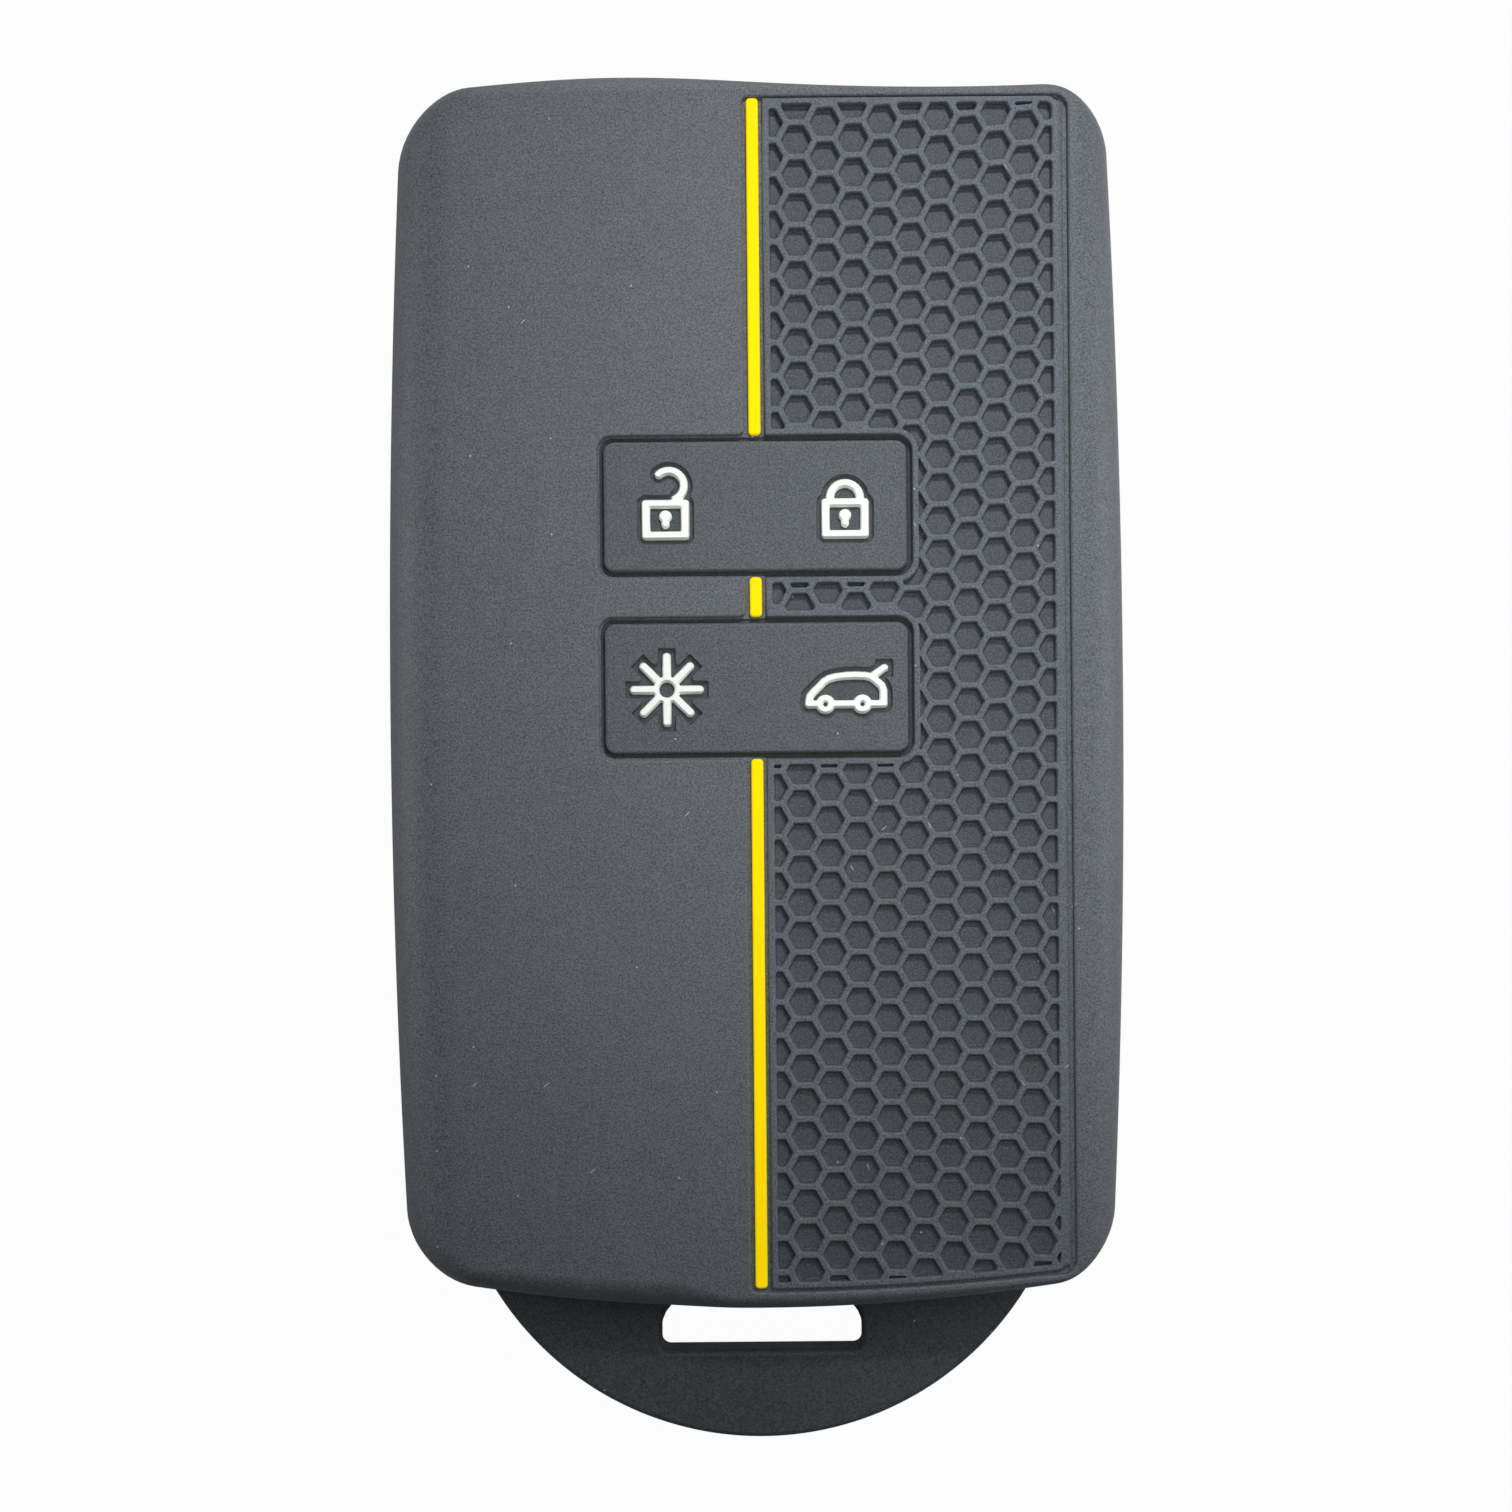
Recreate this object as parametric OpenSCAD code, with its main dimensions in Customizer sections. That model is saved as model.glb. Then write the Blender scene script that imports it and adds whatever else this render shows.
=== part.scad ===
// Moulded silicone cover for a four-button key card.
// It lies on its back: +Z is the normal of the front face and +Y points away from the key-ring tab.
// The origin is under the middle of the whole cover, tab included, at the level of the back face.

/* [Pouch] */
// Length of the pouch, without the tab
body_l = 92.4; // [86:0.1:110]
// Width of the pouch at its widest
body_w = 55.6; // [54:0.1:66]
// Thickness from the back face to the front face
body_t = 15; // [13:0.1:20]
// Thickness of the side walls
wall_t = 1.5; // [1.2:0.1:2]
// Thickness of the front skin, from the cavity to the front face
skin_t = 1.5; // [1.3:0.1:2]
// Thickness of the lip round the back window
lip_t = 1.5; // [1.2:0.1:2.5]
// Radius of the slight outward bow of the long sides
side_bow_r = 890; // [600:10:3000]
// Radius of the outward bow of the tab end
bottom_bow_r = 150; // [150:10:1000]
// Bow of the flat of the front at that end, as a share of the bow of the outline
flat_bow_share = 0.75; // [0.7:0.01:1]
// Radius of the outward bow of the far end
top_bow_r = 800; // [400:10:3000]
// Height of the soft wave along the far end
top_wave = 0.59; // [0.1:0.01:0.7]
// Corner radius at the far end
top_corner_r = 5.6; // [5.2:0.1:8]
// Corner radius at the tab end
bottom_corner_r = 5.2; // [5:0.1:8]

/* [Rounded edges] */
// Width of the roll-off along the long sides of the front
roll_side_w = 4.8; // [4:0.1:5]
// Width of the roll-off along the far end of the front
roll_top_w = 1.25; // [1.2:0.05:2]
// Width of the roll-off along the tab end of the front
roll_bottom_w = 1.5; // [1:0.1:2]
// Height of the front roll-off
roll_h = 4.2; // [3:0.1:5]
// Radius of the edge round the back
back_edge_r = 1.2; // [0.6:0.1:1.2]

/* [Back window] */
// Width of the lip that holds the card, along the sides
lip_side_w = 7; // [5:0.1:9]
// Width of the lip that holds the card, at the ends
lip_end_w = 8; // [5:0.1:12]
// Corner radius of the window
window_r = 6; // [3:0.1:9]

/* [Rocker pads] */
// Distance from the far end to the middle of the upper pad
pad_drop = 32.2; // [28:0.1:36]
// Distance between the middles of the two pads
pad_pitch = 13.5; // [12.5:0.1:16]
// Length of a pad across the cover
pad_l = 22.5; // [22:0.1:25]
// Width of a pad along the cover
pad_w = 9.65; // [9.4:0.05:10]
// Corner radius of a pad
pad_r = 0.8; // [0.4:0.1:1.5]
// Gutter round a pad
pad_gap = 0.45; // [0.4:0.05:0.6]
// Thickness of the web that the pad rocks on
web_t = 0.5; // [0.4:0.05:0.6]
// Depth of the gutter down to the web
web_drop = 0.6; // [0.5:0.05:0.7]
// Height of the knobs that press the buttons of the card
knob_h = 0.5; // [0.3:0.1:0.8]
// Diameter of those knobs
knob_d = 4.4; // [3:0.1:5]

/* [Icons] */
// Distance from the end of a pad to the middle of its icon
icon_inset = 4.58; // [4.2:0.01:5]
// Width of the white lines
icon_line_w = 0.64; // [0.5:0.01:0.7]
// Depth of the pocket that an icon stands in
pocket_d = 0.45; // [0.3:0.05:0.6]
// Dark gap between an icon and the wall of its pocket
pocket_gap = 0.35; // [0.2:0.05:0.4]
// Width of a padlock's body
lock_w = 3.56; // [3.2:0.01:3.8]
// Height of a padlock's body
lock_h = 3; // [2.8:0.01:3.2]
// Corner radius of a padlock's body
lock_r = 0.3; // [0.2:0.05:0.5]
// Distance that a padlock's body sits below the middle of its pad
lock_drop = 0.97; // [0.8:0.01:1.1]
// Radius of a shackle's centre line
shackle_r = 1.12; // [1:0.01:1.2]
// Diameter of a keyhole's round end
keyhole_d = 0.94; // [0.7:0.01:1]
// Width of a keyhole's stem
keyhole_stem_w = 0.6; // [0.4:0.01:0.7]
// Radius of the light symbol, to the ends of its rays
light_r = 2.76; // [2.5:0.01:3]
// Outer radius of the light symbol's ring
light_ring_r = 1.02; // [0.9:0.01:1.1]
// Distance that the light symbol sits below the middle of its pad
light_drop = 0.1; // [0:0.01:0.4]
// Width of the car symbol between the centre lines of its ends
car_w = 5.64; // [5:0.01:5.8]
// Distance that the car symbol sits below the middle of its pad
car_drop = 0.26; // [0:0.01:0.4]

/* [Yellow line] */
// Width of the yellow line
stripe_w = 0.9; // [0.6:0.05:1.1]
// Clear gap beside the yellow line
stripe_gap = 0.33; // [0.2:0.01:0.4]
// Distance from the far end to the start of the line
stripe_top_margin = 1.9; // [1.9:0.05:3]
// Distance from the tab end to the end of the line
stripe_bottom_margin = 2.1; // [2:0.1:3]

/* [Honeycomb] */
// Depth of the gutter round the panel and of the channel beside it
gutter_d = 0.5; // [0.3:0.05:0.6]
// Depth of the cells below the front face
cell_d = 0.7; // [0.65:0.05:0.8]
// Distance from the widest point of the side to the panel
panel_side_margin = 5.1; // [5.1:0.1:6]
// Distance from the far end to the panel
panel_top_margin = 1.9; // [1.9:0.05:2.6]
// Distance from the tab end to the panel
panel_bottom_margin = 2.05; // [2:0.05:3]
// Corner radius of the panel
panel_r = 0.9; // [0.5:0.1:1.5]
// Gutter outside the panel's edge
panel_gap = 0.45; // [0.3:0.05:0.5]
// Width of the strip that frames the cells
frame_w = 0.45; // [0.3:0.05:0.6]
// Width of the walls between the cells
cell_wall = 0.47; // [0.3:0.01:0.6]
// Distance between columns of cells
column_pitch = 2.115; // [1.9:0.005:2.5]
// Distance between cells along a column
row_pitch = 2.477; // [2.3:0.001:3]

/* [Key-ring tab] */
// Reach of the tab beyond the pouch
tab_reach = 11.1; // [10:0.1:16]
// Radius of the round edge of the tab
tab_r = 24.2; // [22:0.1:27]
// Thickness of the tab
tab_t = 3; // [2:0.1:4]
// Height of the tab's middle above the back face
tab_z = 6; // [4:0.1:8]
// Length of the root that bends
root_l = 1.8; // [1:0.1:2.2]
// Length of the slot across the tab
slot_l = 15.6; // [12:0.1:20]
// Width of the slot, from the wall of the pouch
slot_w = 4.3; // [4.2:0.1:5.5]
// Corner radius of the slot
slot_r = 0.7; // [0.4:0.1:1.5]

/* [Hidden] */
$fn = 48;
// Overrun of every cut
cut = 1;

// Places along the cover; the crest of the wave stands this share of its height above the far end
crest_share = 0.86;
body_top_y = (body_l + tab_reach - crest_share * top_wave) / 2;
body_bottom_y = body_top_y - body_l;
body_mid_y = (body_top_y + body_bottom_y) / 2;
pad_y = [body_top_y - pad_drop, body_top_y - pad_drop - pad_pitch];
recess_l = pad_l + 2 * pad_gap;
recess_w = pad_w + 2 * pad_gap;
recess_r = pad_r + pad_gap;
icon_x = pad_l / 2 - icon_inset;

// Levels
cavity_top_z = body_t - skin_t;
gutter_z = body_t - gutter_d;
cell_z = body_t - cell_d;
web_z = body_t - web_drop - web_t;
pocket_z = body_t - pocket_d;

// Panel
channel_w = stripe_w + 2 * stripe_gap;
panel_left_x = channel_w / 2;
panel_right_x = body_w / 2 - panel_side_margin;
panel_w = panel_right_x - panel_left_x;
panel_top_y = body_top_y - panel_top_margin;
panel_bottom_y = body_bottom_y + panel_bottom_margin;

// Steps that the rounded edges are drawn in
corner_steps = 7;
side_steps = 6;
end_steps = 8;
roll_steps = 6;
edge_steps = 3;

// Cavity: the roll-off of its ceiling follows that of the front
cavity_roll_share = 0.75;
cavity_roll_h = roll_h * cavity_roll_share;
cavity_roll_side_w = roll_side_w * cavity_roll_share;
cavity_roll_end_w = roll_top_w * cavity_roll_share;
wave_length_share = 0.83;

// Outline of the pouch

// Points along an arc
function arc(centre, r, from_deg, to_deg, steps) =
    [for (i = [0:steps]) centre + r * [cos(from_deg + (to_deg - from_deg) * i / steps),
                                       sin(from_deg + (to_deg - from_deg) * i / steps)]];

// Points of a quarter circle
function corner(centre, r, start) = arc(centre, r, start, start + 90, corner_steps);

// Points between two ends, without the ends
function between(a, b, steps) = [for (i = [1:steps - 1]) a + (b - a) * i / steps];

// Share of the way from the middle to an end
function end_share(y) = min(abs(y - body_mid_y) / (body_l / 2), 1);

// Rise of the far end above its corners; its wave is gone where the front is flat
function top_rise(x, flat) =
    -x * x / (2 * top_bow_r) - (1 - flat) * top_wave * sin(360 * x / (body_w * wave_length_share));

// Rise of the tab end above its middle; it is less where the front is flat
function bottom_rise(x, flat) = x * x / (2 * bottom_bow_r) * (1 - flat * (1 - flat_bow_share));

// A point of the straight outline, bent to the bowed sides and ends
function bent(p, flat) = [
    p.x * (1 - pow(p.y - body_mid_y, 2) / (side_bow_r * body_w)),
    p.y + end_share(p.y) * (p.y > body_mid_y ? top_rise(p.x, flat) : bottom_rise(p.x, flat))
];

// Outline of the pouch, drawn in by one distance at the sides and another at each end.
// The last value is 0 at the widest level and 1 where the front is flat.
function outline(side, top, bottom, flat = 0) =
    let (
        x = body_w / 2 - side,
        y1 = body_top_y - top,
        y0 = body_bottom_y + bottom,
        r1 = max(top_corner_r - side / 2 - top / 2, pad_r),
        r0 = max(bottom_corner_r - side / 2 - bottom / 2, pad_r),
        right = between([x, y0 + r0], [x, y1 - r1], side_steps),
        far = between([x - r1, y1], [r1 - x, y1], end_steps),
        left = between([-x, y1 - r1], [-x, y0 + r0], side_steps),
        near = between([r0 - x, y0], [x - r0, y0], end_steps)
    )
    [for (p = concat(
        right, corner([x - r1, y1 - r1], r1, 0), far, corner([r1 - x, y1 - r1], r1, 90),
        left, corner([r0 - x, y0 + r0], r0, 180), near, corner([x - r0, y0 + r0], r0, 270)
    )) bent(p, flat)];

// Part of a roll-off's width that is gone at a share of its height
function roll(share) = 1 - sqrt(1 - share * share);

// Closed solid through slices, each [height, side, top, bottom, flat]
module loft(slices) {
    n = len(outline(0, 0, 0));
    last = (len(slices) - 1) * n;
    points = [for (s = slices) for (p = outline(s[1], s[2], s[3], s[4])) [p.x, p.y, s[0]]];
    sides = [for (k = [0:len(slices) - 2]) for (i = [0:n - 1])
        let (a = k * n + i, b = k * n + (i + 1) % n)
        each [[a, a + n, b + n], [a, b + n, b]]];
    polyhedron(points, concat([[for (i = [0:n - 1]) i]], sides, [[for (i = [0:n - 1]) last + n - 1 - i]]));
}

module pouch_solid() {
    back = [for (i = [edge_steps:-1:1])
        let (share = i / edge_steps, inset = back_edge_r * roll(share))
        [back_edge_r * (1 - share), inset, inset, inset, 0]];
    front = [for (i = [0:roll_steps])
        let (share = sin(90 * i / roll_steps), in = roll(share))
        [body_t - roll_h * (1 - share), roll_side_w * in, roll_top_w * in, roll_bottom_w * in, in]];
    loft(concat(back, [[back_edge_r, 0, 0, 0, 0]], front));
}

module cavity_solid() {
    ceiling = [for (i = [0:roll_steps])
        let (share = sin(90 * i / roll_steps), end = wall_t + cavity_roll_end_w * roll(share))
        [cavity_top_z - cavity_roll_h * (1 - share), wall_t + cavity_roll_side_w * roll(share), end, end, 0]];
    loft(concat([[-cut, wall_t, wall_t, wall_t, 0]], ceiling));
}

// Flat shapes

module rounded_rect(l, w, r) {
    hull_l = l - 2 * r;
    hull_w = w - 2 * r;
    square([hull_l, w], center = true);
    square([l, hull_w], center = true);
    for (x = [-1, 1]) for (y = [-1, 1]) translate([x * hull_l / 2, y * hull_w / 2]) circle(r = r);
}

// Straight line with round ends
module stroke(a, b, w) {
    way = b - a;
    translate(a) {
        rotate(atan2(way.y, way.x)) translate([0, -w / 2]) square([norm(way), w]);
        circle(d = w);
    }
    translate(b) circle(d = w);
}

module stroke_line(points, w) {
    for (i = [0:len(points) - 2]) stroke(points[i], points[i + 1], w);
}

module at_pads() {
    for (y = pad_y) translate([0, y]) children();
}

// Panel shape, grown or shrunk by one distance
module panel_shape(grow) {
    x0 = panel_left_x - grow;
    x1 = panel_right_x + grow;
    y0 = panel_bottom_y - grow;
    y1 = panel_top_y + grow;
    r = max(panel_r + grow, frame_w / 2);
    near = [for (i = [0:end_steps])
        let (x = x0 + (x1 - r - x0) * i / end_steps) [x, y0 + bottom_rise(x, 1)]];
    lift = bottom_rise(x1 - r, 1);
    polygon(concat(
        near,
        [for (i = [1:corner_steps]) [x1 - r, y0 + r + lift]
            + r * [sin(90 * i / corner_steps), -cos(90 * i / corner_steps)]],
        [for (i = [0:corner_steps]) [x1 - r, y1 - r]
            + r * [cos(90 * i / corner_steps), sin(90 * i / corner_steps)]],
        [[x0, y1]]
    ));
}

// Honeycomb cells

rows = ceil((panel_top_y - panel_bottom_y) / row_pitch) + 2;
columns = ceil(panel_w / column_pitch) + 1;
// Share of the mean pitch by which the rows draw out towards the two ends
row_stretch_share = 0.017;
// Share by which the rows fan out towards the side of the cover
row_fan_share = 0.02;
// Share of the panel's length, from its lower end, at which the fan is level
fan_level_share = 0.29;
// Shares of a pitch at which the first row and column stand
first_row_share = -0.02;
first_column_share = 0.18;
// Shares of the panel's width by which the columns lean out at the tab end and in along the middle
column_lean_share = 0.0297;
column_lean_level = 0.4;
column_waist_share = 0.0114;
// Width of a cell from point to point, as a share of the column pitch
cell_width_share = 4 / 3;
panel_half_l = (panel_top_y - panel_bottom_y) / 2;
panel_mid_y = panel_bottom_y + panel_half_l;
fan_level_y = panel_bottom_y + 2 * panel_half_l * fan_level_share;

// Rows stand closer in the middle of the panel, and fan out towards the side; columns lean a little
function warped(p) =
    let (
        t = (p.y - panel_mid_y) / panel_half_l,
        y = p.y + panel_half_l * row_stretch_share * (t * t * t - t),
        u = (p.x - panel_left_x) / panel_w,
        lean = column_lean_share * (u + column_lean_level) * pow(max(-t, 0), 3),
        waist = column_waist_share * u * pow(1 - t * t, 2)
    )
    [p.x + panel_w * (lean - waist), y + row_fan_share * u * u * (y - fan_level_y)];

// Corners of one cell, a six-sided opening with flat upper and lower edges
function cell(centre) =
    let (
        half_h = (row_pitch - cell_wall) / 2,
        point_x = (column_pitch * cell_width_share - cell_wall / cos(30)) / 2,
        corners = [[1, 0], [1 / 2, 1], [-1 / 2, 1], [-1, 0], [-1 / 2, -1], [1 / 2, -1]]
    )
    [for (c = corners) warped([centre.x + c.x * point_x, centre.y + c.y * half_h])];

module cells() {
    for (column = [0:columns]) for (row = [-1:rows]) {
        x = panel_left_x + (column + first_column_share) * column_pitch;
        y = panel_bottom_y + (row + first_row_share + (column % 2) / 2) * row_pitch;
        polygon(cell([x, y]));
    }
}

// Solids

module cover_shell() {
    color([0.34, 0.36, 0.39])
    difference() {
        pouch_solid();
        cavity_solid();
        translate([0, 0, gutter_z]) linear_extrude(gutter_d + cut) {
            panel_shape(panel_gap);
            translate([-channel_w / 2, panel_bottom_y - panel_gap])
                square([channel_w, panel_top_y - panel_bottom_y + 2 * panel_gap]);
        }
        translate([0, 0, cell_z]) linear_extrude(cell_d + cut) panel_shape(0);
        translate([0, 0, cavity_top_z - cut]) linear_extrude(skin_t + 2 * cut)
            at_pads() rounded_rect(recess_l, recess_w, recess_r);
    }
}

module back_lip() {
    window_l = body_l - 2 * (wall_t + lip_end_w);
    window_w = body_w - 2 * (wall_t + lip_side_w);
    color([0.3, 0.32, 0.35])
    linear_extrude(lip_t) difference() {
        polygon(outline(wall_t, wall_t, wall_t));
        translate([0, body_mid_y]) rounded_rect(window_w, window_l, window_r);
    }
}

module honeycomb_panel() {
    color([0.36, 0.38, 0.41])
    translate([0, 0, cell_z]) linear_extrude(cell_d) difference() {
        panel_shape(0);
        at_pads() rounded_rect(recess_l, recess_w, recess_r);
        intersection() {
            cells();
            difference() {
                panel_shape(-frame_w);
                at_pads() rounded_rect(recess_l + 2 * frame_w, recess_w + 2 * frame_w, recess_r + frame_w);
            }
        }
    }
}

stripe_corner_share = 0.33;

// One length of the yellow line
module stripe(y0, y1) {
    color([0.97, 0.91, 0.05])
    translate([0, (y0 + y1) / 2, gutter_z])
        linear_extrude(gutter_d) rounded_rect(stripe_w, y1 - y0, stripe_w * stripe_corner_share);
}

module stripe_upper() {
    stripe(pad_y[0] + recess_w / 2, body_top_y - stripe_top_margin);
}

module stripe_middle() {
    stripe(pad_y[1] + recess_w / 2, pad_y[0] - recess_w / 2);
}

module stripe_lower() {
    stripe(body_bottom_y + stripe_bottom_margin, pad_y[1] - recess_w / 2);
}

module pad_web(y) {
    color([0.26, 0.27, 0.3])
    translate([0, y, web_z]) linear_extrude(web_t) difference() {
        rounded_rect(recess_l, recess_w, recess_r);
        rounded_rect(pad_l, pad_w, pad_r);
    }
}

// Pad with its knobs; the children are the flat shapes of its two pockets
module rocker_pad(y) {
    color([0.33, 0.35, 0.38])
    translate([0, y]) {
        difference() {
            translate([0, 0, cavity_top_z]) linear_extrude(skin_t) rounded_rect(pad_l, pad_w, pad_r);
            translate([0, 0, pocket_z]) linear_extrude(pocket_d + cut) children();
        }
        for (side = [-1, 1]) translate([side * icon_x, 0, cavity_top_z - knob_h])
            cylinder(d = knob_d, h = knob_h);
    }
}

// A white shape on the floor of its pocket
module icon(side, y) {
    color([0.94, 0.95, 0.94])
    translate([side * icon_x, y, pocket_z]) linear_extrude(pocket_d) children();
}

// Padlocks

// Heights above the middle of the padlock's body, and the reach of the open shackle
keyhole_rise_share = 0.08;
keyhole_foot_share = 0.12;
closed_rise_share = 0.5;
open_rise_share = 0.84;
open_shift_share = 0.073;
open_end_deg = 132;
open_outer_foot_deg = -60;
open_inner_foot_deg = -75;
lock_inner_r_share = 0.35;

module lock_body_shape(grow) {
    r = grow < 0 ? lock_r * lock_inner_r_share : lock_r + grow;
    translate([0, -lock_drop]) rounded_rect(lock_w + 2 * grow, lock_h + 2 * grow, r);
}

module lock_frame_shape() {
    difference() {
        lock_body_shape(0);
        lock_body_shape(-icon_line_w);
    }
}

module keyhole_shape() {
    top = lock_h * keyhole_rise_share - lock_drop;
    foot = -lock_h * keyhole_foot_share - lock_drop;
    translate([0, top]) circle(d = keyhole_d);
    stroke([0, top], [0, foot], keyhole_stem_w);
}

shackle_steps = 16;
end_cap_steps = 6;
// The legs run into the body by half a line's width
leg_foot_y = lock_h / 2 - lock_drop - icon_line_w / 2;
open_centre = [lock_w * open_shift_share, lock_h * open_rise_share - lock_drop];
closed_centre = [0, lock_h * closed_rise_share - lock_drop];

// Hook that curls in to the body at the right and runs over the top to a round end
module open_shackle_shape(w) {
    end_centre = open_centre + shackle_r * [cos(open_end_deg), sin(open_end_deg)];
    outer = arc(open_centre, shackle_r + w / 2, open_outer_foot_deg, open_end_deg, shackle_steps);
    cap = arc(end_centre, w / 2, open_end_deg, open_end_deg + 180, end_cap_steps);
    inner = arc(open_centre, shackle_r - w / 2, open_end_deg, open_inner_foot_deg, shackle_steps);
    polygon(concat([[outer[0].x, leg_foot_y]], outer, cap, inner, [[inner[shackle_steps].x, leg_foot_y]]));
}

// Arch on two legs
module closed_shackle_shape(w) {
    outer_r = shackle_r + w / 2;
    inner_r = shackle_r - w / 2;
    polygon(concat(
        [[outer_r, leg_foot_y]],
        arc(closed_centre, outer_r, 0, 180, shackle_steps),
        [[-outer_r, leg_foot_y], [-inner_r, leg_foot_y]],
        arc(closed_centre, inner_r, 180, 0, shackle_steps),
        [[inner_r, leg_foot_y]]
    ));
}

module unlock_shape() {
    lock_frame_shape();
    open_shackle_shape(icon_line_w);
}

module lock_shape() {
    lock_frame_shape();
    closed_shackle_shape(icon_line_w);
}

module unlock_pocket() {
    lock_body_shape(pocket_gap);
    open_shackle_shape(icon_line_w + 2 * pocket_gap);
}

module lock_pocket() {
    lock_body_shape(pocket_gap);
    arch_r = shackle_r + icon_line_w / 2 + pocket_gap;
    translate(closed_centre) circle(r = arch_r);
    translate([-arch_r, -lock_drop]) square([2 * arch_r, closed_centre.y + lock_drop]);
}

// Light symbol

ray_count = 8;
light_hole_share = 0.55;
light_web_share = 0.76;

module light_shape() {
    difference() {
        union() {
            circle(r = light_ring_r);
            for (i = [0:ray_count - 1]) rotate(i * 360 / ray_count)
                stroke([light_ring_r - icon_line_w / 2, 0], [light_r - icon_line_w / 2, 0], icon_line_w);
        }
        circle(r = light_ring_r * light_hole_share);
    }
}

module light_pocket() {
    arm_w = icon_line_w + 2 * pocket_gap;
    circle(r = light_r * light_web_share);
    for (i = [0:ray_count - 1]) rotate(i * 360 / ray_count)
        translate([0, -arm_w / 2]) square([light_r + pocket_gap, arm_w]);
}

// Car symbol, as shares of its width

car_outline_shares = [
    [-0.5, -0.179], [-0.496, -0.133], [-0.48, -0.067], [-0.42, -0.002], [-0.348, 0.064], [-0.303, 0.115],
    [-0.235, 0.155], [-0.144, 0.18], [-0.012, 0.195], [0.119, 0.2], [0.25, 0.193], [0.325, 0.175],
    [0.388, 0.129], [0.461, 0.064], [0.488, -0.002], [0.488, -0.179], [-0.5, -0.179]
];
car_tailgate_shares = [[0.325, 0.175], [0.5, 0.294]];
car_wheel_shares = [-0.277, 0.209];
car_wheel_r_share = 0.127;
car_hub_r_share = 0.028;
car_line_share = 0.93;

module at_car_wheels() {
    for (x = car_wheel_shares) translate([x, car_outline_shares[0].y] * car_w) children();
}

module car_shape() {
    line_w = icon_line_w * car_line_share;
    difference() {
        union() {
            stroke_line(car_outline_shares * car_w, line_w);
            stroke_line(car_tailgate_shares * car_w, line_w);
            at_car_wheels() circle(r = car_wheel_r_share * car_w);
        }
        at_car_wheels() circle(r = car_hub_r_share * car_w);
    }
}

module car_pocket() {
    w = icon_line_w + 2 * pocket_gap;
    tip = car_tailgate_shares[1] * car_w;
    polygon([for (i = [0:len(car_outline_shares) - 2]) car_outline_shares[i] * car_w]);
    stroke_line(car_outline_shares * car_w, w);
    stroke_line(car_tailgate_shares * car_w, w);
    translate([tip.x - w / 2, tip.y - w / 2]) square(w);
    at_car_wheels() circle(r = car_wheel_r_share * car_w + pocket_gap);
}

// Pads, webs and icons in their places

module pad_web_upper() {
    pad_web(pad_y[0]);
}

module pad_web_lower() {
    pad_web(pad_y[1]);
}

module rocker_pad_upper() {
    rocker_pad(pad_y[0]) {
        translate([-icon_x, 0]) unlock_pocket();
        translate([icon_x, 0]) lock_pocket();
    }
}

module rocker_pad_lower() {
    rocker_pad(pad_y[1]) {
        translate([-icon_x, -light_drop]) light_pocket();
        translate([icon_x, -car_drop]) car_pocket();
    }
}

module unlock_icon() {
    icon(-1, pad_y[0]) unlock_shape();
}

module unlock_keyhole() {
    icon(-1, pad_y[0]) keyhole_shape();
}

module lock_icon() {
    icon(1, pad_y[0]) lock_shape();
}

module lock_keyhole() {
    icon(1, pad_y[0]) keyhole_shape();
}

module light_icon() {
    icon(-1, pad_y[1] - light_drop) light_shape();
}

module trunk_icon() {
    icon(1, pad_y[1] - car_drop) car_shape();
}

// Key-ring tab

tab_end_y = body_bottom_y - tab_reach;
tab_centre_y = tab_end_y + tab_r;
root_end_y = body_bottom_y - root_l;
slot_end_y = body_bottom_y - slot_w;

module tab_disc() {
    translate([0, tab_centre_y]) circle(r = tab_r, $fn = 96);
}

module slot_shape() {
    l = slot_w + root_l;
    translate([0, slot_end_y + l / 2]) rounded_rect(slot_l, l, slot_r);
}

module tab_root() {
    band_l = bottom_rise(body_w / 2, 0) + root_l;
    color([0.17, 0.18, 0.2])
    translate([0, 0, tab_z - tab_t / 2]) linear_extrude(tab_t) difference() {
        intersection() {
            tab_disc();
            translate([-body_w / 2, root_end_y]) square([body_w, band_l]);
        }
        polygon(outline(0, 0, 0));
        slot_shape();
    }
}

module keyring_tab() {
    color([0.2, 0.21, 0.23])
    translate([0, 0, tab_z - tab_t / 2]) linear_extrude(tab_t) difference() {
        intersection() {
            tab_disc();
            translate([-tab_r, tab_end_y - cut]) square([2 * tab_r, root_end_y - tab_end_y + cut]);
        }
        slot_shape();
    }
}

cover_shell();
back_lip();
honeycomb_panel();
stripe_upper();
stripe_middle();
stripe_lower();
pad_web_upper();
rocker_pad_upper();
unlock_icon();
unlock_keyhole();
lock_icon();
lock_keyhole();
pad_web_lower();
rocker_pad_lower();
light_icon();
trunk_icon();
tab_root();
keyring_tab();
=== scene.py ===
"""Moulded silicone cover for a four-button key card: finished pieces, finishes, light and camera.

Lengths are in metres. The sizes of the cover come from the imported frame, and the settings below hold
what the frame leaves open: curves, rounded edges, finishes and light.
"""
import math

import bmesh
import bpy
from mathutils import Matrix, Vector
from mathutils.geometry import delaunay_2d_cdt


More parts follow.
